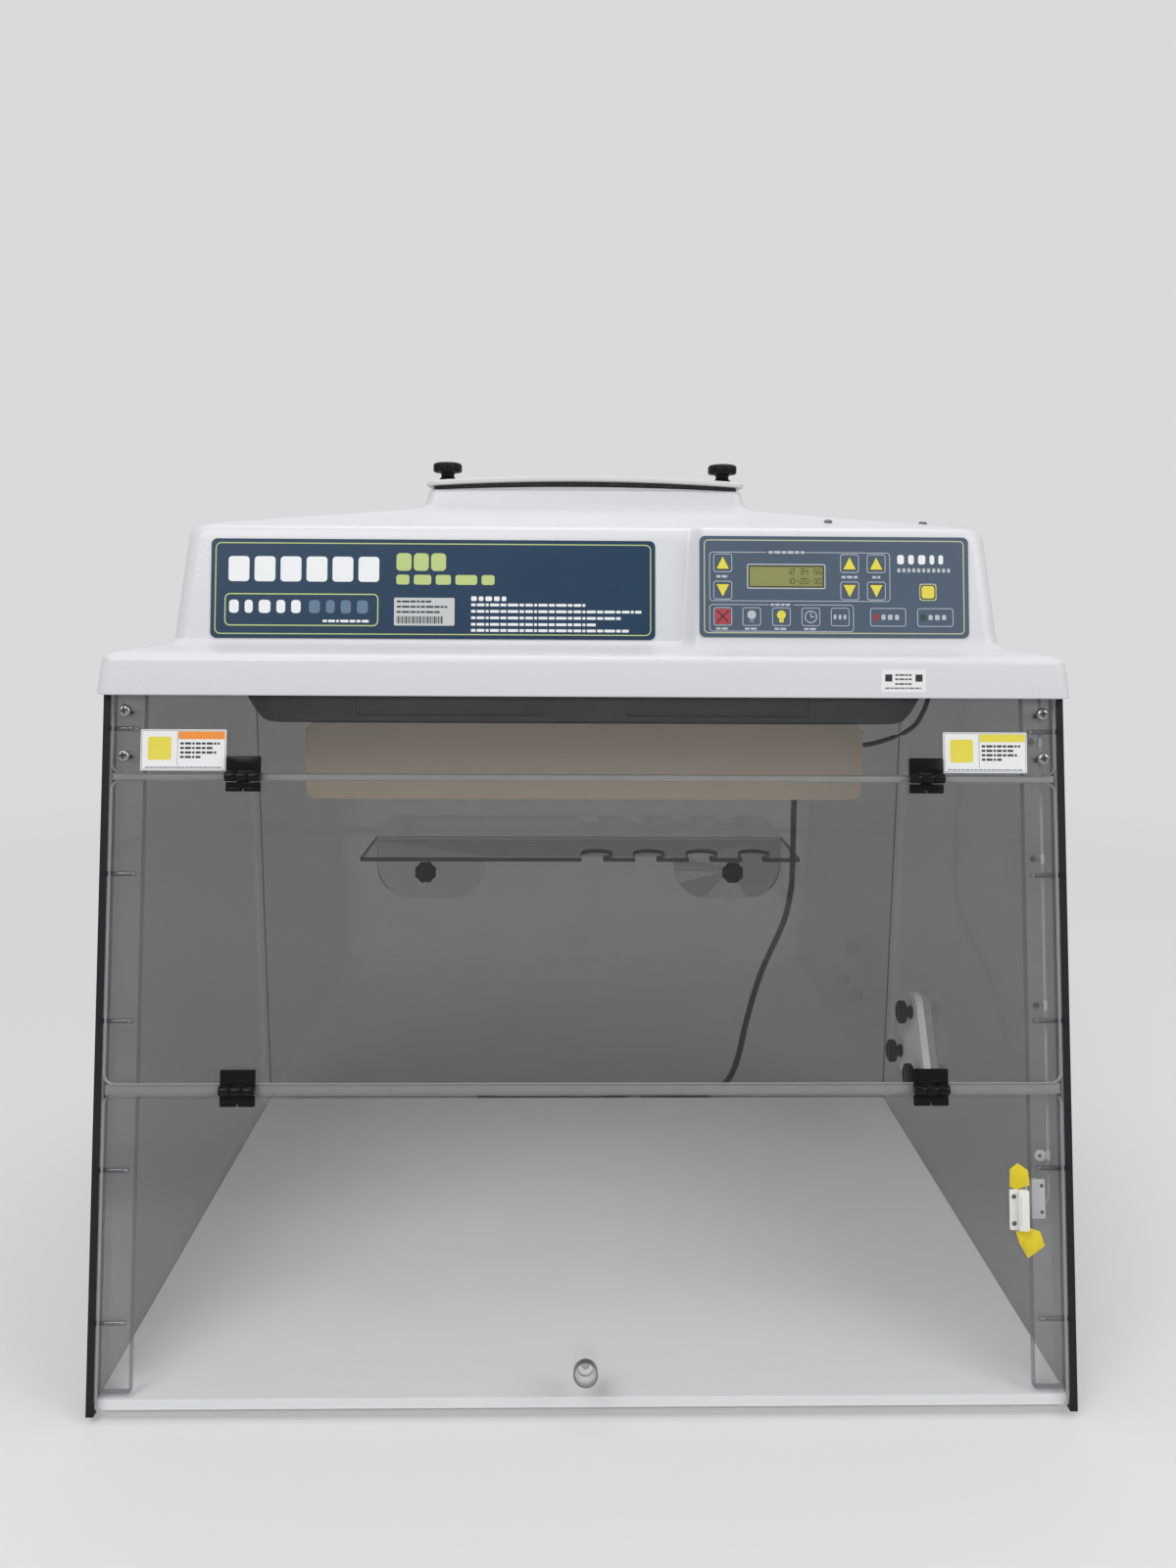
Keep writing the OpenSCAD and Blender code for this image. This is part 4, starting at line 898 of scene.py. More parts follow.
@dataclass
class PowerCord:
    """Mains cord: down behind the cabinet, along the floor and folded in a flat hank."""

    diameter: float = 8.0
    floor_z: float = 4.6
    hank_x: float = -18.0
    hank_run: float = 176.0
    middle_d: float = 642.5

    def _bend(self, cx: float, cd: float, r: float, a0: int, a1: int, steps: int) -> list[Spot]:
        """Return points on a fold of the hank."""
        return [(x, d, self.floor_z) for x, d in arc(cx, cd, r, a0, steps, a1 - a0)]

    def _run(self, x0: float, x1: float, d: float, count: int) -> list[Spot]:
        """Return points on a straight run of the hank."""
        return [(x0 + (x1 - x0) * k / (count - 1), d, self.floor_z) for k in range(count)]

    def route(self) -> list[Spot]:
        """Return the route as (x, depth, height) points in mm."""
        z, m = self.floor_z, self.middle_d
        right, left = self.hank_x + self.hank_run / 2, self.hank_x - self.hank_run / 2
        way: list[Spot] = [
            (290, 667, 652), (290, 676, 651), (289, 690, 645), (289, 701, 632), (289, 706, 612),
            (289, 706, 560), (289.5, 706, 500), (289.5, 706, 440), (289, 706, 389),
            (289.4, 704.5, 325), (288, 700, 276), (281.7, 694, 243), (272.4, 688.5, 217.3),
            (259.6, 683, 191.5), (247.9, 678, 165.7), (238.5, 672.5, 140), (230.8, 667, 114.4),
            (223.7, 661, 89), (218.5, 656, 66), (213, 652, 46), (204, 648.5, 26),
            (190.5, 646, 12.2), (173, 646, 5.6), (156, 648.5, z), (138, 652.5, z), (120, 658.5, z),
            (104, 663.5, z), (88, 666.2, z), (right + 2, 666.5, z)]
        way += self._run(right - 20, left + 10, m + 24, 6)
        way += self._bend(left, m, 24, 90, 270, 12)
        way += self._run(left + 20, right - 20, m - 24, 6)
        way += self._bend(right, m - 4, 20, -90, 90, 12)
        way += self._run(right - 20, left + 10, m + 16, 6)
        way += self._bend(left, m, 16, 90, 270, 10)
        way += self._run(left + 20, right - 54, m - 16, 5)
        way += [(36, 626.6, 5.4), (50, 626.8, 8.2), (64, 627.1, 11.6), (78, 627.5, 13.3),
                (87, 628, 12.9), (97, 628.5, 10.9), (106, 628.9, 10.0), (118, 629, 10.0)]
        return way

    def smooth(self, points: list[Spot], steps: int) -> list[Vector]:
        """Return a smooth line through the points, in metres of the row frame."""
        line: list[Vector] = []
        v = [Vector((x, FRONT_Y + d, z)) for x, d, z in points]
        for i in range(len(v) - 1):
            a, b, c, d = v[max(i - 1, 0)], v[i], v[i + 1], v[min(i + 2, len(v) - 1)]
            for k in range(steps):
                t = k / steps
                line.append(0.5 * (2 * b + (c - a) * t + (2 * a - 5 * b + 4 * c - d) * t * t
                                   + (3 * b - a - 3 * c + d) * t ** 3) * MM)
        return line + [v[-1] * MM]

    def tie(self) -> bpy.types.Object:
        """Wrap a flat strap round the hank's middle."""
        form = Form(at_depth(self.hank_x, self.middle_d, self.floor_z) @ spun(90, "Y"))
        outer, inner = round_rect(9.2, 58.0, 4.4, 6), round_rect(8.2, 56.4, 4.0, 6)
        rings = [level(shape(0.0), z) for shape, z in
                 ((outer, -4.0), (outer, 4.0), (inner, 4.0), (inner, -4.0))]
        form.rings(rings, RUBBER, loop=True)
        form.prism(round_rect(2.6, 6.0, 0.8), -5.0, 5.0, RUBBER, 0.4, shift(-4.8, 14.0, 0.0))
        return form.piece("cord_tie", "cabinet", Slot.CABLE, ["hank_tie"])

    def plug(self) -> bpy.types.Object:
        """Mould the three-pin plug beside the hank."""
        x0 = self.hank_x + self.hank_run / 2 + 29.0
        form = Form(at_depth(x0, 629.0, 10.0) @ spun(90, "Y"))
        collar = [(4.5, 0.0), (5.0, 2.0), (5.4, 6.0)]
        for k in range(4):
            z = 7.0 + 4.2 * k
            collar += [(5.6 + k * 0.35, z), (5.7 + k * 0.35, z + 2.2), (4.6 + k * 0.35, z + 2.5),
                       (4.6 + k * 0.35, z + 3.9)]
        collar += [(7.2, 24.2)]
        form.lathe(collar, BLACK, 28)
        body = round_rect(19.6, 25.0, 6.0, 6)
        steps = [(5.0, 22.5), (1.6, 25.0), (0.3, 29.0), (0.0, 36.0), (1.2, 44.0), (0.0, 52.0),
                 (0.0, 57.0), (1.0, 58.0)]
        form.stack(body, steps, BLACK)
        for y in (-6.35, 6.35):
            form.prism(round_rect(6.3, 1.5, 0.4), 57.5, 75.0, STEEL, 0.4, shift(-2.0, y, 0))
        form.lathe([(2.4, 57.5), (2.4, 75.0), (1.6, 77.0), (0.0, 77.0)], STEEL, 20,
                   shift(4.5, 0, 0))
        return form.piece("mains_plug", "cabinet", Slot.CABLE, ["power_plug"])

    def connector(self) -> bpy.types.Object:
        """Mould the angled-face appliance connector with its ribbed strain relief."""
        form = Form(at_depth(290, 613, 652) @ spun(-90, "X"))
        form.prism(round_rect(22, 16, 3), -14.0, 1.0, BLACK, 0.6)
        body = round_rect(27, 20, 5, 6)
        steps = [(1.0, 0.0), (0.0, 1.2), (0.0, 10.0), (1.0, 15.0), (0.6, 20.0), (2.0, 23.0),
                 (3.6, 24.4)]
        form.stack(body, steps, BLACK)
        relief: Flat = [(8.6, 24.0), (7.4, 27.6)]
        for k in range(5):
            r, z = 6.9 - k * 0.42, 28.2 + k * 5.0
            relief += [(r, z), (r, z + 3.0), (4.7, z + 3.4), (4.7, z + 4.8)]
        relief += [(4.8, 53.0), (4.4, 54.0)]
        form.lathe(relief, BLACK, 32)
        return form.piece("cord_connector_shell", "cabinet", Slot.CABLE, ["cord_connector"])

    def build(self) -> None:
        """Lay the cord, build its connector, tie and plug, and log its length."""
        line = self.smooth(self.route(), 3)
        curve = bpy.data.curves.new("mains_cord", "CURVE")
        curve.dimensions = "3D"
        curve.bevel_depth, curve.bevel_resolution = self.diameter / 2 * MM, 4
        curve.use_fill_caps = True
        spline = curve.splines.new("POLY")
        spline.points.add(len(line) - 1)
        for point, spot in zip(spline.points, line):
            point.co = (*spot, 1.0)
        curve.materials.append(CORD_JACKET.material())
        obj = add_object("mains_cord", curve)
        attach(obj, "cabinet", Slot.CABLE, ["power_cord", "cord_hank"])
        pieces = [self.connector(), self.tie(), self.plug()]
        length = sum((b - a).length for a, b in zip(line, line[1:]))
        log.info("cord length %.3f m", length)


@dataclass
class Head:
    """Lofted white moulding over the fan and filter, its lid seat and its inlet pad."""

    skirt_z: float = 584.0
    skirt_half: float = 412.5
    box_z: float = 727.0
    boss_z: float = 764.0
    wall: float = 3.2
    pad_x: float = 290.0

    def outer(self) -> list[tuple[float, ...]]:
        """Return (height, half width, front, back, corner radius, bay step, step's x) rings."""
        s, h, b, t = self.skirt_z, self.skirt_half, self.box_z, self.boss_z
        return [
            (s, h - 0.6, 119.1, 618.4, 14, 0, 92), (s + 0.8, h, 118.5, 619, 14, 0, 92),
            (s + 28, h - 5, 120.8, 618, 13, 0, 92), (s + 30.4, h - 5.8, 121.5, 617.5, 12.6, 0, 92),
            (s + 32, h - 7.4, 123, 616.5, 12, 0, 92), (s + 33.5, h - 9.6, 125.1, 615.3, 11, 0, 92),
            (s + 34.5, h - 12, 127.5, 614, 10, 0.2, 92),
            (s + 36.4, h - 22, 136.5, 613.4, 10, 1, 91.5),
            (s + 38, h - 34, 146, 613, 10, 2, 91), (s + 39.2, 372.5, 153.5, 612.2, 11, 4.6, 90.5),
            (s + 40, 368, 158.5, 611.5, 12, 7, 90), (s + 42, 363.5, 163.4, 610.8, 14, 11, 90),
            (s + 45, 361, 166.15, 610, 16, BAY_JOG, 91),
            (s + 50, 360, 167.4, 609.7, 16.6, BAY_JOG, 91.5),
            (s + 56, 359.3, 168.5, 609.5, 17, BAY_JOG, 92),
            (b - 12, 350, 184.5, 603, 17, BAY_JOG, 96),
            (b - 7, 348.8, 185.7, 601, 18, BAY_JOG, 97),
            (b - 3, 346.8, 188, 598.5, 18, BAY_JOG, 97),
            (b - 1.5, 345.2, 189.5, 597.2, 18, BAY_JOG, 97),
            (b - 0.5, 343, 191.5, 595.5, 18, BAY_JOG, 97),
            (b + 0.6, 340, 194.6, 592.6, 17.6, 11.4, 96.5), (b + 1.5, 336, 199, 589, 17, 10, 96),
            (b + 4, 322, 208, 580, 16, 4, 95), (t - 20, 172, 246, 536, 14, 0, 70),
            (t - 18.8, 162, 250.6, 531, 13, 0, 70), (t - 17, 155, 255, 527, 12, 0, 70),
            (t - 15, 151.6, 257, 525, 11.4, 0, 70), (t - 13, 149.5, 258.5, 523.5, 11, 0, 70),
            (t - 4, 147, 261, 521, 10, 0, 70), (t - 1.6, 146, 262, 520, 9.4, 0, 70),
            (t - 0.4, 145, 263, 519, 8.6, 0, 70), (t, 144, 264, 518, 8, 0, 70)]

    def inner(self) -> list[tuple[float, ...]]:
        """Return the hollow's rings, from the intake opening down to the skirt."""
        t, s, b, h = self.boss_z, self.skirt_z, self.box_z, self.skirt_half
        return [
            (t, 112, 300, 482, 6), (t - self.wall, 112, 300, 482, 6),
            (t - self.wall, 141, 267, 515, 8), (t - 17, 146, 264, 518, 10),
            (t - 24, 166, 252, 530, 12), (b, 320, 212, 576, 14), (b - 4, 338, 198, 590, 14),
            (b - 12, 345, 190, 597, 14), (s + 41, 358, 170, 604, 13), (s + 35, 366, 160, 605, 12),
            (s + 31, h - 18, 136, 606, 12), (604, h - 16, 134, 606, 12),
            (604, h - 6.6, 124, 615, 9), (600.5, h - 5.1, 122.5, 615.8, 6),
            (s, h - self.wall, 121.7, 615.8, 6)]

    def outline(self, half: float, d0: float, d1: float, r: float, jog: float = 0.0,
                jog_x: float = 92.0, steps: int = 12) -> Flat:
        """Return a rounded rectangle whose front steps forward right of jog_x."""
        f0, f1 = FRONT_Y + d0, FRONT_Y + d1
        right = half - r
        ramp = [(jog_x - 8 + 14 * t, f0 - jog * (3 * t * t - 2 * t ** 3))
                for t in (0, 0.08, 0.18, 0.3, 0.42, 0.55, 0.68, 0.8, 0.9, 1)]
        return (arc(-right, f0 + r, r, 180, steps) + ramp + arc(right, f0 - jog + r, r, 270, steps)
                + arc(right, f1 - r, r, 0, steps) + arc(-right, f1 - r, r, 90, steps))

    def build(self) -> bpy.types.Object:
        """Loft the shell, add the inlet pad and cut the window through both."""
        form = Form()
        rings = [level(self.outline(*rest), z) for z, *rest in self.outer() + self.inner()]
        form.rings(rings, WHITE_SHELL, loop=True)
        shell = form.piece("fan_head", "cabinet", Slot.WHITE_MOULDING, ["head_shell"], SHELL_SHARP)
        pad = Form(at_depth(self.pad_x, 598, 667) @ spun(-90, "X"))
        pad.prism(round_rect(68, 78, 4), -2.0, 12.0, WHITE_SHELL, 1.2)
        window = Form(at_depth(self.pad_x, 600, 667.5) @ spun(-90, "X"))
        window.prism(round_rect(28, 58, 0.5), -16.0, 20.0, WHITE_SHELL)
        for tool, way in ((pad, "UNION"), (window, "DIFFERENCE")):
            self._boolean(shell, tool, way)
        tidy_mesh(shell, SHELL_SHARP)
        self._lips()
        return shell

    def _lips(self) -> None:
        """Stand the two arched lips that hold the foam on the lid's seat."""
        form = Form()
        half, rise = 134.0, 3.0
        for d in (264.4, 515.4):
            rings: list[list[Spot]] = []
            for k in range(25):
                x = -half + 2 * half * k / 24
                top = self.boss_z + 0.1 + rise * (1 - (x / half) ** 2)
                y0, y1, foot = FRONT_Y + d, FRONT_Y + d + 2.2, self.boss_z - 0.5
                rings.append([(x, y0, foot), (x, y0, top - 0.3), (x, y0 + 0.3, top),
                              (x, y1 - 0.3, top), (x, y1, top - 0.3), (x, y1, foot)])
            form.rings(rings, WHITE_SHELL)
        form.piece("lid_seat_lips", "cabinet", Slot.WHITE_MOULDING)

    def _boolean(self, shell: bpy.types.Object, tool: Form, way: str) -> None:
        """Join the tool to the shell, or cut it out, as a plain mesh."""
        other = add_object("tool", tool.mesh("tool"))
        tidy_mesh(other, SHELL_SHARP)
        modifier = shell.modifiers.new("cut", "BOOLEAN")
        modifier.operation, modifier.solver, modifier.object = way, "EXACT", other
        shell.data = as_mesh(shell)
        shell.modifiers.remove(modifier)
        bpy.data.objects.remove(other)


@dataclass
class Lid:
    """Arched intake lid with softened rims."""

    width: float = 296.0
    front: float = 257.0
    back: float = 525.0
    thick: float = 4.5
    rise: float = 5.0
    edge_z: float = 767.0

    def under(self, x: float) -> float:
        """Return the height of the lid's underside at x."""
        big = ((self.width / 2) ** 2 + self.rise ** 2) / (2 * self.rise)
        return self.edge_z + math.sqrt(big * big - x * x) - (big - self.rise)

    def _plan(self, inset: float) -> Flat:
        """Return the plan outline with points close enough to follow the arch."""
        w, h = self.width / 2 - inset, (self.back - self.front) / 2 - inset
        r = max(12.0 - inset, 1.0)
        points: Flat = []
        for k, bend in enumerate(corners(w, h, r, 6)):
            points += bend
            if k in (0, 2):
                side = 1 - k
                points += [(side * (w - r) * (1 - 2 * i / 16), side * h) for i in range(1, 16)]
        return points

    def build(self) -> bpy.types.Object:
        """Bend a rounded sheet over the arch."""
        middle = FRONT_Y + (self.front + self.back) / 2
        form = Form()
        steps = [(110, 0.0), (60, 0.0), (20, 0.0), (1.0, 0.0), (0.3, 0.3), (0.0, 1.0),
                 (0.0, 3.3), (0.4, 4.1), (1.4, 4.5), (20, 4.5), (60, 4.5), (110, 4.5)]
        form.rings([[(x, middle + y, self.under(x) + z) for x, y in self._plan(i)]
                    for i, z in steps], WHITE_LID)
        return form.piece("intake_cover", "cabinet", Slot.WHITE_MOULDING, ["intake_lid"], 40.0)


@dataclass
class LobedKnobs:
    """Nine hand knobs, each on a body of its own."""

    radius: float = 13.5
    height: float = 17.0
    sides: int = 64
    hollows: int = 8
    lid_seat_x: float = 122.0

    def form(self, place: Matrix) -> Form:
        """Return one knob, its foot at the frame's origin and its crown along z."""
        made = Form(place)
        r, h = self.radius, self.height
        rim = h * 0.45

        def lobed(size: float, depth: float, z: float) -> list[Spot]:
            """Ring with finger hollows."""
            ring: list[Spot] = []
            for k in range(self.sides):
                a = 2 * math.pi * k / self.sides
                reach = size - depth * max(0.0, math.cos(self.hollows * a)) ** 1.6
                ring.append((reach * math.cos(a), reach * math.sin(a), z))
            return ring

        made.rings([lobed(*step) for step in (
            (0.4, 0, 0.0), (r * 0.54, 0, 0.0), (r * 0.58, 0, 0.4), (r * 0.58, 0, 2.1),
            (r * 0.5, 0, 2.9), (r * 0.44, 0, 4.4), (r * 0.5, 0, rim - 0.6),
            (r * 0.86, r * 0.08, rim), (r * 0.97, r * 0.12, rim + 0.7), (r, r * 0.13, rim + 1.6),
            (r, r * 0.13, h - 2.8), (r * 0.96, r * 0.11, h - 1.6), (r * 0.86, r * 0.05, h - 0.7),
            (r * 0.7, 0, h - 0.25), (r * 0.62, 0, h), (r * 0.5, 0, h - 0.1),
            (r * 0.44, 0, h - 0.7), (r * 0.1, 0, h - 0.8))], BLACK)
        return made

    def build(self, lid: Lid) -> None:
        """Set each knob where its node is."""
        on_lid = lid.under(self.lid_seat_x) + lid.thick + 0.1
        places = {"lid_knob_" + name: at_depth(x, d, on_lid) for name, x, d in (
            ("fl", -130, 285), ("fr", 130, 285), ("bl", -130, 497), ("br", 130, 497))}
        for name, x in (("left", -192.5), ("right", 192.5)):
            places["shelf_knob_" + name] = at_depth(x, 606 - 4.8, 321.5) @ spun(90, "X")
        for name, d, z in (("top", 471.7, 180.8), ("front", 431.3, 118.9), ("rear", 505, 119.8)):
            places["port_knob_" + name] = at_depth(INNER_HALF - 8, d, z) @ spun(-90, "Y")
        for name, place in places.items():
            piece = name.replace("knob", "handknob")
            self.form(place).piece(piece, name, Slot.BLACK_MOULDING, [name], 40.0)


@dataclass
class Screws:
    """Cross-head screws of the front frame, the sides and the roof."""

    head_r: float = 5.2
    head_h: float = 3.0
    sides: int = 32

    def head(self, shank: float) -> Form:
        """Return a domed head with a cross recess, its underside at z = 0."""
        made = Form()
        r, h = self.head_r, self.head_h

        def ring(size: float, z: float, cross: float = 0.0) -> list[Spot]:
            """Ring pulled down where the cross arms run."""
            turns = [2 * math.pi * k / self.sides for k in range(self.sides)]
            return [(size * math.cos(t), size * math.sin(t), z - (0.0 if k % 8 else cross))
                    for k, t in enumerate(turns)]

        steps = [(0.05, -shank), (2.0, -shank), (2.0, -0.01)] if shank > 0 else [(0.05, 0)]
        steps += [(r, 0), (r, h * 0.3), (r * 0.95, h * 0.55), (r * 0.82, h * 0.82),
                  (r * 0.64, h * 0.96), (r * 0.56, h, 1.2), (r * 0.3, h, 1.5),
                  (r * 0.16, h - 1.2, 0.6), (0.05, h - 1.8)]
        made.rings([ring(*step) for step in steps], STEEL)
        return made

    def cross(self) -> Form:
        """Return a dark cross of painted shade for the recess, just above the dome's flat."""
        made = Form()
        arm = round_rect(self.head_r * 1.1, 1.25, 0.5, 3)
        for turn in (20.0, 110.0):
            # Painted shade: dark ink stands for the shadow inside the steel cross recess.
            made.prism(arm, self.head_h - 0.6, self.head_h + 0.03, INK_DARK, 0.0, spun(turn, "Z"))
        return made

    def build(self) -> None:
        """Place all screws by node trees, one mesh for each kind."""
        slope = on_slope()
        out = slope.to_3x3() @ Vector((0, 0, 1))
        front = [(slope @ Vector((m * 388.5, s, 0)), out) for m in (-1, 1) for s in (540, 578)]
        sides = [(slope @ Vector((m * CAB_HALF, s, -10.95)), Vector((m, 0, 0)))
                 for m in (-1, 1) for s in (71, 195, 318, 441, 564)]
        roof = [(Vector((217.5, -91.4, 733.5)), Vector((0, -0.296, 0.955))),
                (Vector((303.0, -91.2, 732.7)), Vector((0.086, -0.1, 1)).normalized())]
        for name, pattern, finish, spots, nodes, size in (
                ("panel_screw_heads", self.head(15.0), STEEL, front, ["panel_screws"], 1.0),
                # the recess crosses are painted shade on the front screws
                ("screw_recesses", self.cross(), INK_DARK, front, [], 1.0),
                ("side_screw_heads", self.head(30.0), DARK_STEEL, sides, ["side_screws"], 0.73),
                ("roof_screw_heads", self.head(0.0), DARK_STEEL, roof, [], 0.7)):
            Repeater(name, pattern, finish, spots).piece("cabinet", Slot.STEEL, nodes, size)


@dataclass
class Sheet:
    """One printed surface, with bars and blocks in place of words."""

    at: Matrix
    form: Form = field(default_factory=Form)
    lift: float = 0.06
    sunk: float = 0.05

    def moved(self, by: Matrix) -> "Sheet":
        """Return a sheet on the same form, at a frame inside this one's."""
        return Sheet(self.at @ by, self.form)

    def block(self, x0: float, x1: float, y0: float, y1: float, finish: Finish,
              r: float = 0.4, layer: int = 0) -> None:
        """Print one rounded block from x0 to x1 and y0 to y1."""
        w, h = abs(x1 - x0), abs(y1 - y0)
        shape = round_rect(w, h, min(r, w / 2.05, h / 2.05), 4)
        z = layer * self.lift
        self.form.prism(shape, z - self.sunk, z + self.lift, finish,
                        at=self.at @ shift((x0 + x1) / 2, (y0 + y1) / 2, 0))

    def frame(self, x0: float, x1: float, y0: float, y1: float, line: float,
              finish: Finish, r: float = 3.0, layer: int = 0) -> None:
        """Print a rounded outline of that line width."""
        outer = round_rect(x1 - x0, y1 - y0, r, 6)
        z0, z1 = layer * self.lift - self.sunk, layer * self.lift + self.lift
        steps = ((0.0, z0), (0.0, z1), (line, z1), (line, z0))
        self.form.rings([level(outer(i), z) for i, z in steps], finish, loop=True,
                        at=self.at @ shift((x0 + x1) / 2, (y0 + y1) / 2, 0))

    def mark(self, shape: Outline, x: float, y: float, finish: Finish, layers: int) -> None:
        """Print a shape at x and y, that many layers thick."""
        self.form.prism(shape, 0.0, layers * self.lift, finish, at=self.at @ shift(x, y, 0))

    def words(self, x0: float, x1: float, y: float, height: float, finish: Finish,
              beat: Sequence[float] = (3, 5, 2, 6, 4), layer: int = 0) -> None:
        """Print a line of bars that fills x0 to x1, as a text line does."""
        x, k = x0, 0
        while x < x1 - height * 0.6:
            w = min(beat[k % len(beat)] * height * 0.55, x1 - x)
            self.block(x, x + w, y - height / 2, y + height / 2, finish, height * 0.25, layer)
            x += w + height * 0.45
            k += 1


@dataclass
class Prints:
    """Printed panels, stickers and tape."""

    fan_key_x: float = -96.8
    key_row_y: float = -26.3

    def name_plate(self) -> None:
        """Print the long plate."""
        sheet = Sheet(on_face(0.0) @ shift(-133, 33, 0.82))
        sheet.frame(-189.5, 189.5, -40.2, 40.2, 0.9, INK_LIME, 5.0)
        for x0 in (-178.0, -155.5, -133.0, -110.5, -88.0, -65.5):
            sheet.block(x0, x0 + 18.0, 6.0, 28.0, INK_WHITE, 3.0)
        for x0, x1 in ((-32.6, -19.5), (-17.5, -4.5), (-2.5, 10.5)):
            sheet.block(x0, x1, 16.0, 31.5, INK_LIME, 3.4)
        sheet.words(-32.6, 56.4, 8.2, 8.6, INK_LIME, (2.4, 3.2, 2.8, 4.0))
        sheet.frame(-181.0, -47.9, -32.9, -4.5, 1.0, INK_LIME, 4.5)
        sheet.words(-177.0, -112.0, -16.0, 11.5, INK_WHITE, (1.3, 1.1, 1.6, 1.2))
        sheet.words(-108.0, -52.0, -16.0, 11.5, PLATE_EDGE, (1.5, 1.2, 1.4))
        sheet.words(-96.0, -56.0, -28.5, 2.2, INK_WHITE)
        sheet.block(-34.3, 18.2, -32.1, -7.7, SILVER_LABEL, 1.2)
        for y, w in ((-11.0, 30.0), (-15.6, 44.0), (-20.2, 38.0)):
            sheet.words(-32.0, -32.0 + w, y, 1.7, INK_DARK, (4, 7, 5, 3), 1)
        bar = -32.0
        for k in range(26):
            w = (0.5, 0.9, 0.6, 1.3)[k * 7 % 4]
            sheet.block(bar, bar + w, -30.3, -24.0, INK_DARK, 0.02, 1)
            bar += w + (0.6, 0.9, 0.7)[k % 3]
        sheet.words(32.6, 63.2, -8.2, 4.0, INK_WHITE, (2.2, 1.8, 2.6))
        for y, end in ((-13.6, 132.0), (-19.3, 181.0), (-25.0, 163.0), (-30.7, 143.0),
                       (-36.0, 170.0)):
            sheet.words(32.6, end, y, 2.4, INK_WHITE, (3, 5, 2, 6, 4, 7))
        sheet.form.piece("plate_print", "cabinet", Slot.BLUE)

    def keypad(self) -> None:
        """Print the control film and set the keys' symbols."""
        sheet = Sheet(on_face(BAY_JOG) @ shift(214.5, 37, 1.02))
        sheet.frame(-113.2, 113.2, -40.9, 40.9, 0.9, INK_CREAM, 4.0)
        sheet.frame(-108.5, 48.7, -12.9, 30.2, 0.6, INK_LINE, 3.2)
        sheet.block(-58.6, -24.4, 28.4, 31.4, PANEL_SLATE, 0.4, 1)
        sheet.words(-57.0, -25.5, 29.9, 2.4, INK_LINE, (3, 4), 2)
        sheet.frame(-75.8, -7.6, -2.0, 19.8, 1.0, INK_LINE, 1.6, 1)
        # Painted shadow: a dark olive ring just inside the window, where the bezel shades the
        # display's edge.
        display = sheet.moved(shift(0, 0, -0.26))
        display.frame(-75.0, -8.4, -1.2, 19.0, 1.7, INK_DISPLAY_SHADE, 0.8)
        for kx in (self.fan_key_x, 13.4, 36.6):
            for ky, up in ((20.5, 1), (-3.4, -1)):
                sheet.frame(kx - 8.1, kx + 8.1, ky - 8.1, ky + 8.1, 0.6, INK_LINE, 2.2, 1)
                for colour, size, layers in ((INK_DARK, 1.12, 1), (INK_YELLOW, 1.0, 2)):
                    half, foot, tip = 5.4 * size, -5.2 * up * size, 5.6 * up * size
                    arrow = [(-half, foot), (half, foot), (0.0, tip)][::up]
                    sheet.mark(polygon(arrow), kx, ky, colour, layers)
        for kx, w in ((self.fan_key_x, 11.0), (13.4, 14.0), (36.6, 7.0)):
            sheet.words(kx - w / 2, kx + w / 2, 8.6, 2.2, INK_LINE, (3, 4))
        sheet.frame(-108.5, 16.8, -39.4, -15.6, 0.6, INK_LINE, 3.2)
        sheet.block(-56.6, -35.6, -17.4, -14.4, PANEL_SLATE, 0.4, 1)
        sheet.words(-55.5, -36.5, -15.9, 1.9, INK_LINE, (3, 4), 2)
        for colour, half, layer in ((INK_CREAM, 7.4, 1), (INK_DARK, 6.5, 2), (INK_YELLOW, 5.5, 3)):
            sheet.block(81.5 - half, 81.5 + half, -4.2 - half, -4.2 + half, colour, 2.2, layer)
        for kx in (self.fan_key_x, -71.8, -46.1, -20.5, 4.9):
            base = INK_RED if kx == self.fan_key_x else PANEL_SLATE
            sheet.block(kx - 6.6, kx + 6.6, -32.9, -19.7, base, 1.6)
            sheet.frame(kx - 8.0, kx + 8.0, -34.3, -18.3, 0.6, INK_LINE, 2.2, 1)
            if kx < 0:
                sheet.words(kx - 6.0, kx + 6.0, -36.9, 1.9, INK_LINE, (4, 5), 1)
        self._symbols(sheet)
        for x0, x1, led in ((31.0, 62.2, INK_MAROON), (72.0, 103.4, INK_GREEN)):
            sheet.frame(x0, x1, -34.3, -18.3, 0.6, INK_LINE, 2.2)
            sheet.block(x0 + 2.2, x0 + 7.6, -29.2, -23.6, led, 1.2)
            sheet.words(x0 + 9.8, x1 - 2.2, self.key_row_y, 4.6, INK_LINE,
                        (1.4, 1.6, 1.4, 1.6, 1.5))
        sheet.words(55.0, 101.0, 24.2, 8.2, INK_WHITE, (1.3, 1.1, 1.4, 0.9, 0.9, 0.7))
        sheet.words(55.0, 101.0, 14.8, 3.6, INK_LINE, (1.4, 1.4, 1.3))
        sheet.form.piece("keypad_print", "cabinet", Slot.SLATE)
        self._digits()

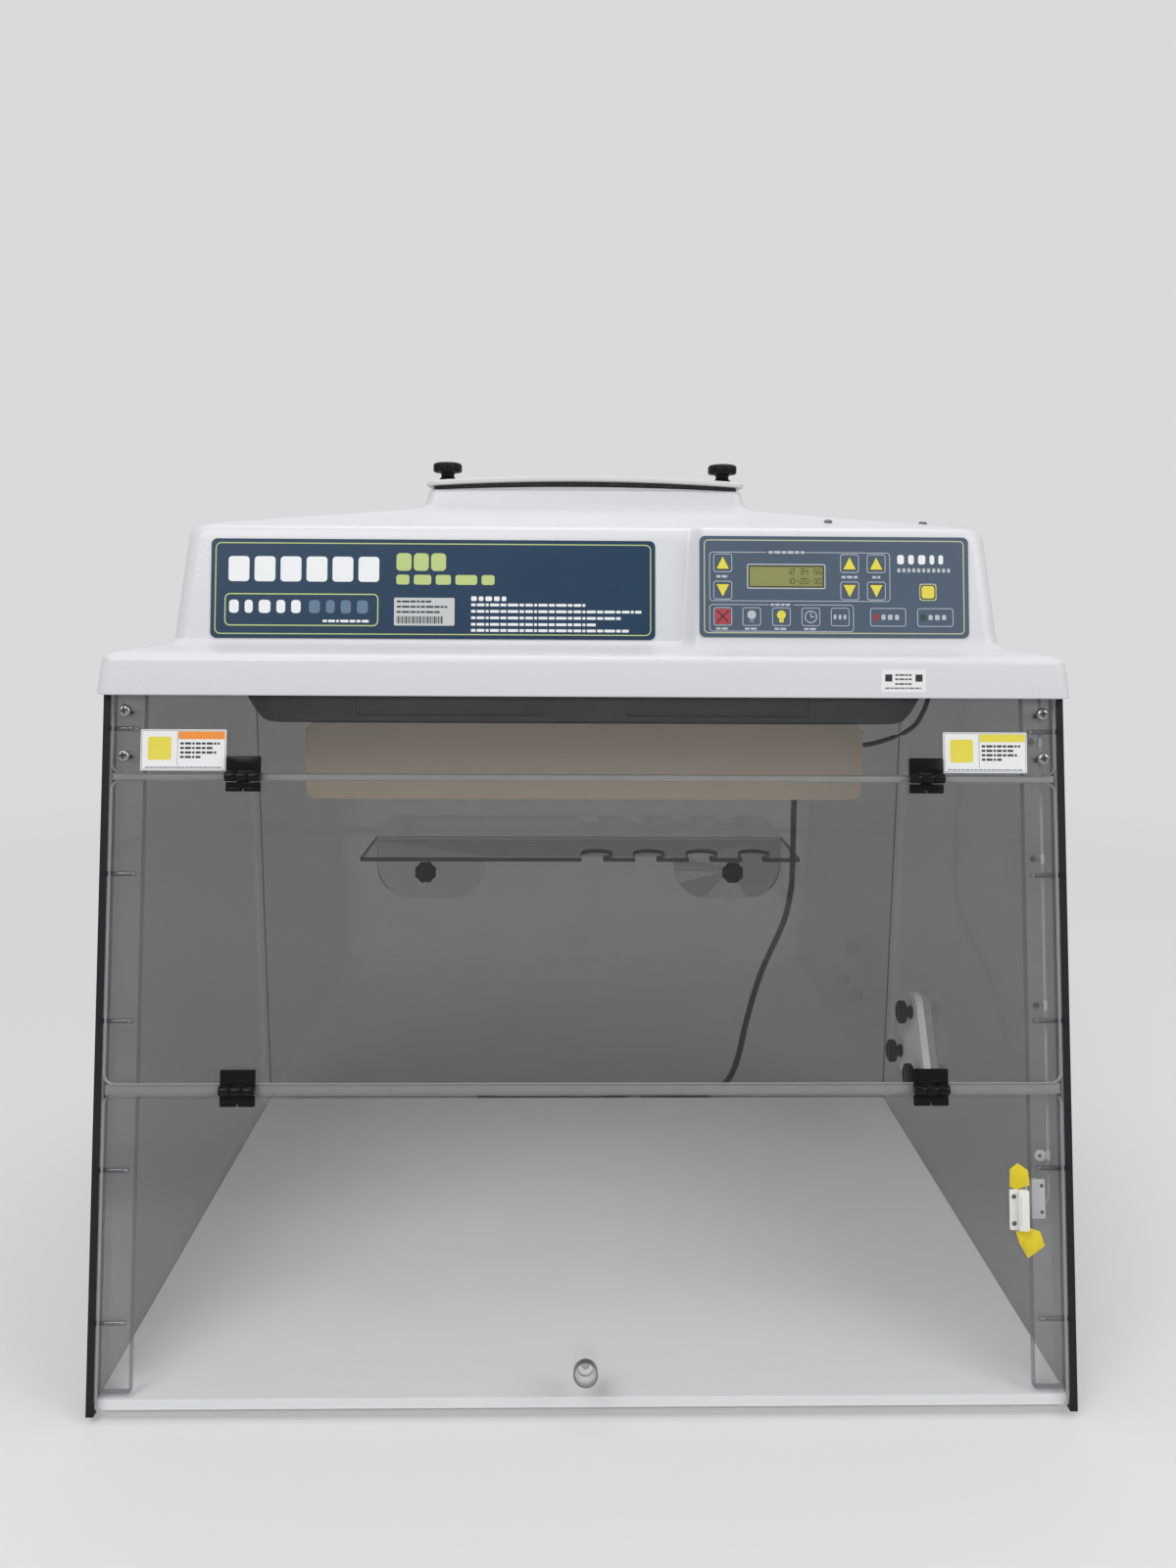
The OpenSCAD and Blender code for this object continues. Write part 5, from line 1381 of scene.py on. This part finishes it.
    def _symbols(self, sheet: Sheet) -> None:
        """Draw fan, two lamps, clock and a plain key mark on the lower row."""
        y = self.key_row_y
        for turn in (45, 135):
            cross = sheet.moved(shift(self.fan_key_x, y, 0) @ spun(turn, "Z"))
            cross.block(-7.0, 7.0, -1.3, 1.3, INK_MAROON, 0.5, 1)
            cross.block(-7.0, 7.0, -0.35, 0.35, INK_DARK, 0.2, 2)
        bulb = round_rect(7.6, 7.6, 3.7, 6)
        for kx, glow, foot in ((-71.8, INK_LINE, INK_GREY), (-46.1, INK_YELLOW, INK_YELLOW)):
            sheet.mark(bulb, kx, y + 1.6, glow, 2)
            sheet.block(kx - 1.9, kx + 1.9, y - 5.0, y - 1.8, foot, 0.6, 1)
        sheet.frame(-25.9, -15.1, y - 5.4, y + 5.4, 0.8, INK_LINE, 5.3, 1)
        sheet.block(-20.9, -20.1, y, y + 4.0, INK_LINE, 0.3, 1)
        sheet.block(-20.9, -17.4, y - 0.4, y + 0.4, INK_LINE, 0.3, 1)
        sheet.words(-0.7, 10.6, y, 4.4, INK_LINE, (0.95, 0.95, 0.95), 1)

    def _digits(self) -> None:
        """Write plain seven-bar digits in two rows on the display."""
        sheet = Sheet(on_face(BAY_JOG) @ shift(173, 46, 0.72))
        bars = {"0": "abcdef", "1": "bc", "2": "abged", "3": "abgcd", "4": "fgbc", "5": "afgcd",
                "6": "afgedc", "7": "abc", "8": "abcdefg", "9": "abcdfg", "-": "g", " ": ""}
        w, h, t = 2.5, 4.6, 0.5
        spots = {"a": (0, w, h, h), "b": (w, w, h / 2, h), "c": (w, w, 0, h / 2), "d": (0, w, 0, 0),
                 "e": (0, 0, 0, h / 2), "f": (0, 0, h / 2, h), "g": (0, w, h / 2, h / 2)}
        for row, text in ((2.0, "12 34 56"), (-6.4, "10-20-30")):
            for k, mark in enumerate(text):
                for bar in bars[mark]:
                    x0, x1, y0, y1 = spots[bar]
                    x = 0.5 + k * 3.9
                    sheet.block(x + x0 - t / 2, x + x1 + t / 2, row + y0 - t / 2,
                                row + y1 + t / 2, SEGMENT, 0.15)
        sheet.form.piece("display_digits", "cabinet", Slot.DISPLAY)

    def stickers(self) -> None:
        """Stick the two plain stickers on the fixed panel and the small one on the skirt."""
        slope = on_slope()
        for name, x0, band in (("sticker_left", -374.6, INK_ORANGE),
                               ("sticker_right", 303.0, INK_YELLOW)):
            sheet = Sheet(slope @ shift(x0, 527.7, 0.02))
            sheet.block(0, 71.6, 0, 34.6, PAPER, 1.0)
            sheet.frame(0.8, 70.8, 0.8, 33.8, 0.4, INK_GREY, 0.8, 1)
            sheet.block(6.0, 25.6, 8.9, 28.5, INK_YELLOW, 2.0, 1)
            sheet.block(30.6, 31.0, 4.4, 33.4, INK_GREY, 0.1, 1)
            sheet.block(31.4, 70.0, 26.4, 33.0, band, 0.4, 1)
            for y, end in ((22.8, 66.0), (19.0, 60.0), (15.2, 64.0), (11.4, 52.0)):
                sheet.words(33.0, end, y, 1.9, INK_DARK, (3, 5, 2, 4), 1)
            sheet.words(4.0, 68.0, 2.6, 1.1, INK_GREY, (5, 7, 4), 1)
            sheet.form.piece(name, "cabinet", Slot.SHEET)
        tilt = Matrix.Rotation(math.atan2(28, 2.3), 4, "X")
        sheet = Sheet(at_depth(248.0, 118.9, 589.0) @ tilt)
        sheet.block(0, 37.5, 0, 19.0, PAPER, 0.8)
        sheet.block(3.0, 9.0, 9.0, 15.0, INK_DARK, 0.1, 1)
        sheet.block(28.6, 34.6, 9.0, 15.0, INK_DARK, 0.1, 1)
        for y in (14.5, 11.0, 7.0):
            sheet.words(11.5, 26.5, y, 1.3, INK_DARK, (4, 6, 3), 1)
        sheet.words(3.0, 34.0, 3.4, 1.4, INK_GREY, (5, 3, 6), 1)
        sheet.form.piece("sticker_skirt", "cabinet", Slot.SHEET)

    def tapes(self) -> None:
        """Stick torn scraps of yellow tape beside the interlock on the lower sash."""
        slope = on_slope()
        upper: Flat = [(353.0, 182.5), (358.5, 180.2), (369.8, 183.6), (368.6, 196.0),
                       (360.0, 201.8), (353.6, 197.0)]
        lower: Flat = [(357.4, 146.2), (360.6, 136.0), (367.4, 124.0), (381.6, 134.0),
                       (378.0, 145.8), (368.0, 149.4)]
        form = Form(slope)
        for points in (upper, lower):
            form.prism(polygon(points), 0.02, 0.5, TAPE, 0.12)
        form.prism(polygon([(366.0, 128.5), (376.5, 133.0), (372.0, 141.0), (362.5, 138.0)]), 0.45,
                   1.0, TAPE, 0.12)
        form.piece("tape_scraps", "lower_sash", Slot.SHEET)

    def build(self) -> None:
        """Make every print, sticker and tape."""
        self.name_plate()
        self.keypad()
        self.stickers()
        self.tapes()


@dataclass
class Hinges:
    """Black moulded hinges: bevelled leaves and interlocking knuckles, and their pins."""

    width: float = 29.0
    at_x: float = 288.0
    leaf_t: float = 2.6
    knuckle_r: float = 4.2
    pin_r: float = 1.5

    def leaf(self, form: Form, at: Matrix, reach: float, notch: bool) -> None:
        """Lay one leaf from the knuckle outwards, with a nick in its free edge if asked."""
        near = self.knuckle_r + 0.5
        half = self.width / 2
        if not notch:
            form.prism(round_rect(self.width, reach - near, 1.2, 4), 0.0, self.leaf_t,
                       BLACK_GLOSS, 0.5, at @ shift(0, (near + reach) / 2, 0))
            return
        body = reach - 2.6
        form.prism(round_rect(self.width, body - near, 0.4, 3), 0.0, self.leaf_t, BLACK_GLOSS, 0.3,
                   at @ shift(0, (near + body) / 2, 0))
        tooth = half - 0.5
        for m in (-1, 1):
            form.prism(round_rect(tooth, 3.6, 1.0, 4), 0.0, self.leaf_t, BLACK_GLOSS, 0.4,
                       at @ shift(m * (tooth / 2 + 0.5), reach - 1.8, 0))

    def knuckle(self, form: Form, at: Matrix, x0: float, x1: float) -> None:
        """Turn one knuckle from x0 to x1 and join it to its leaf."""
        r, bore = self.knuckle_r, self.pin_r + 0.06
        profile = [(bore, x0), (r - 0.5, x0), (r - 0.12, x0 + 0.2), (r, x0 + 0.5),
                   (r, x1 - 0.5), (r - 0.12, x1 - 0.2), (r - 0.5, x1), (bore, x1)]
        form.lathe(profile, BLACK_GLOSS, 28, at @ shift(0, 0, r + 0.3) @ spun(90, "Y"), loop=True)
        form.prism(round_rect(x1 - x0 - 0.1, r + 0.7, 0.2, 2), 0.32, self.leaf_t, BLACK_GLOSS, 0.1,
                   at @ shift((x0 + x1) / 2, (r + 0.7) / 2, 0))

    def half(self, name: str, body: str, node: str, s: float, below: bool, outer: bool,
             reach: float) -> None:
        """Build the two leaves of one kind at height s up the slope."""
        form = Form(on_slope())
        end = self.width / 2
        spans = ((-end, -5.2), (5.2, end)) if outer else ((-5.0, 5.0),)
        for x in (-self.at_x, self.at_x):
            at = shift(x, s, 0) @ Matrix.Scale(-1.0 if below else 1.0, 4, (0, 1, 0))
            self.leaf(form, at, reach, below)
            for x0, x1 in spans:
                self.knuckle(form, at, x0, x1)
        form.piece(name, body, Slot.BLACK_MOULDING, [node])

    def build(self) -> None:
        """Build the upper and lower hinges on their bodies."""
        for kind, fixed_on, moves_with, s, above, below in (
                ("upper", "cabinet", "upper_sash", 522.6, 17.5, 12.5),
                ("lower", "upper_sash", "lower_sash", 262.8, 17.0, 13.5)):
            leaf, node = f"hinge_leaf_{kind}_", f"{kind}_hinge_"
            self.half(leaf + "fixed", fixed_on, node + "fixed", s, False, True, above)
            self.half(leaf + "moving", moves_with, node + "moving", s, True, False, below)


@dataclass
class Interlock:
    """Magnet on the sash and reed switch behind the clear strip."""

    length: float = 33.0

    def block(self, form: Form, at: Matrix, finish: Finish) -> None:
        """Build one housing with its screw flange at negative x and a darker strip down its face,
        painted shade for a groove.
        """
        long = self.length
        form.prism(round_rect(8.5, long, 0.9), -3.25, 3.25, finish, 0.5, at)
        form.prism(round_rect(7.4, long, 0.7), -3.25, -1.25, finish, 0.3, at @ shift(-6.8, 0, 0))
        # Painted shade: a grey strip on the face in place of a groove's shadow.
        form.prism(round_rect(0.7, long - 9.0, 0.3), 3.2, 3.3, GREY_LEAD, 0.0,
                   at @ shift(-2.6, 0, 0))
        for y in (-11.0, 11.0):
            form.lathe([(0.0, -1.3), (1.9, -1.3), (1.9, -0.9), (1.2, -0.35), (0.0, -0.3)],
                       DARK_STEEL, 20, at @ shift(-7.2, y, 0))

    def build(self) -> None:
        """Place the magnet on the sash and the switch behind the strip."""
        slope = on_slope()
        magnet = Form(slope)
        self.block(magnet, shift(363, 164, 3.25), IVORY)
        magnet.piece("sash_magnet", "lower_sash", Slot.IVORY, ["interlock_magnet"])
        switch = Form(slope)
        at = shift(378.5, 168, -18.95) @ spun(180, "Y")
        # the switch takes the paler ivory, painted light against its shade
        self.block(switch, at, SENSOR_LIT_IVORY)
        for y in (-11.0, 11.0):
            switch.lathe([(0.0, -3.33), (1.6, -3.33), (1.6, -3.2), (0.0, -3.2)], DARK_STEEL, 20,
                         at @ shift(-7.6, y, 0))
        switch.piece("reed_switch", "cabinet", Slot.IVORY, ["interlock_sensor"])


@dataclass
class Clips:
    """Moulded P-clips that hold the sensor cable against the strip's back."""

    at_x: float = 393.0
    back_o: float = -15.7
    spots: tuple[float, ...] = (204.0, 330.0, 455.0, 556.0)
    cable_o: float = -1.9
    half: float = 4.0

    def build(self) -> None:
        """Make each clip of a sleeve, a round flap and a screw through it."""
        form = Form(on_slope())
        for k, s in enumerate(self.spots):
            at = shift(self.at_x, s, self.back_o)
            flap = NYLON if k == 0 else CLEAR_STRIP
            form.prism(round_rect(10.2, 9.4, 4.6, 8), -1.2, -0.02, flap, 0.2,
                       at @ shift(-7.2, 0, 0))
            sleeve = at @ shift(0, 0, self.cable_o) @ spun(-90, "X")
            sleeve_walls = [(1.86, -self.half), (1.86, self.half), (1.45, self.half),
                            (1.45, -self.half)]
            form.lathe(sleeve_walls, NYLON, 24, sleeve, loop=True)
            screw = at @ shift(-8.0, 0, 0)
            form.lathe([(0.0, -3.4), (1.4, -3.35), (2.3, -2.8), (2.6, -1.9), (2.6, -1.22),
                        (0.0, -1.22)], DARK_STEEL, 24, screw)
            form.lathe([(0.0, -0.3), (1.5, -0.3), (1.5, 0.04), (0.0, 0.04)], DARK_STEEL, 20, screw)
        form.piece("cable_p_clips", "cabinet", Slot.NYLON, ["cable_clips"])


@dataclass
class PullKnob:
    """Turned clear knob on the lower sash, with its screw behind."""

    radius: float = 10.0
    length: float = 20.0

    def build(self) -> None:
        """Turn the knob and its screw."""
        r, h = self.radius, self.length
        at = on_slope() @ shift(0, 38, 0)
        form = Form(at)
        form.lathe([(0.0, 0.0), (r * 0.6, 0.0), (r * 0.62, 0.5), (r * 0.6, 2.2), (r * 0.64, 4.0),
                    (r * 0.86, 6.0), (r * 0.97, 7.2), (r, 8.4), (r, h - 4.4),
                    (r * 0.985, h - 3.0), (r * 0.93, h - 1.9), (r * 0.82, h - 0.9),
                    (r * 0.66, h - 0.3), (r * 0.45, h), (0.0, h)], CLEAR_KNOB, 48)
        form.lathe([(0.0, -8.0), (3.4, -8.0), (4.0, -7.4), (4.0, -6.0), (2.0, -6.0), (2.0, 0.2),
                    (0.0, 0.2)], STEEL, 28)
        form.piece("pull_knob", "lower_sash", Slot.CLEAR, ["sash_knob"])


@dataclass
class Seals:
    """Frosted vinyl strips that close the slots between the front panels."""

    half: float = 398.0
    inner: float = -4.2
    outer: float = -1.7

    def strip(self, name: str, body: str, s0: float, s1: float) -> None:
        """Lay one strip across the front from s0 to s1 up the slope."""
        form = Form(on_slope())
        shape = round_rect(2 * self.half, s1 - s0, 0.6, 3)
        form.prism(shape, self.inner, self.outer, FROSTED, 0.3, shift(0, (s0 + s1) / 2, 0))
        form.piece(name, body, Slot.CLEAR)

    def build(self) -> None:
        """Close the slot under the fixed panel and the one between the sashes."""
        self.strip("slot_seal_upper", "cabinet", 519.7, 525.5)
        self.strip("slot_seal_lower", "upper_sash", 258.4, 267.2)


@dataclass
class Lamps:
    """Two tubes in sockets under the beige housing."""

    half: float = 233.0
    tube_z: float = 516.5

    def build(self) -> None:
        """Turn each tube with its metal caps and sockets."""
        for name, d in (("white_lamp", 234.0), ("uv_lamp", 278.0)):
            form = Form(at_depth(0, d, self.tube_z))
            turn = spun(90, "Y")
            end = self.half
            tube = [(0.0, -end + 9), (6.4, -end + 9), (7.8, -end + 12), (7.8, end - 12),
                    (6.4, end - 9), (0.0, end - 9)]
            form.lathe(tube, LAMP_GLASS, 28, turn)
            for m in (-1, 1):
                cap = [(0.0, m * (end - 14)), (8.0, m * (end - 14)), (8.0, m * (end - 7)),
                       (7.0, m * (end - 5.6)), (0.0, m * (end - 5.6))]
                form.lathe(cap, STEEL, 28, turn)
                form.prism(round_rect(12, 18, 2), -12.0, 25.9, IVORY, 0.8, shift(m * end, 0, 0))
            form.piece(name + "_tube", "cabinet", Slot.LAMP, [name])


def dress_nodes() -> None:
    """Give every CAD node its finish."""
    for name, finish in NODE_FINISH.items():
        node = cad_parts[name]
        if not node.material_slots:
            node.data.materials.append(None)
        for place in node.material_slots:
            place.material = finish.material()
    bare = [name for name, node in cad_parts.items()
            if name not in NODE_FINISH and not node.hide_render]
    log.info("nodes left bare: %s", bare)


def main() -> None:
    """Build the scene in order."""
    logging.basicConfig(level=logging.INFO, format="%(message)s")
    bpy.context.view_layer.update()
    for part in (Studio(), PowerCord(), Head()):
        part.build()
    lid = Lid()
    lid.build()
    LobedKnobs().build(lid)
    for part in (Screws(), Lamps(), Hinges(), Interlock(), Clips(), PullKnob(), Seals(), Prints()):
        part.build()
    dress_nodes()


if __name__ == "__main__":
    main()
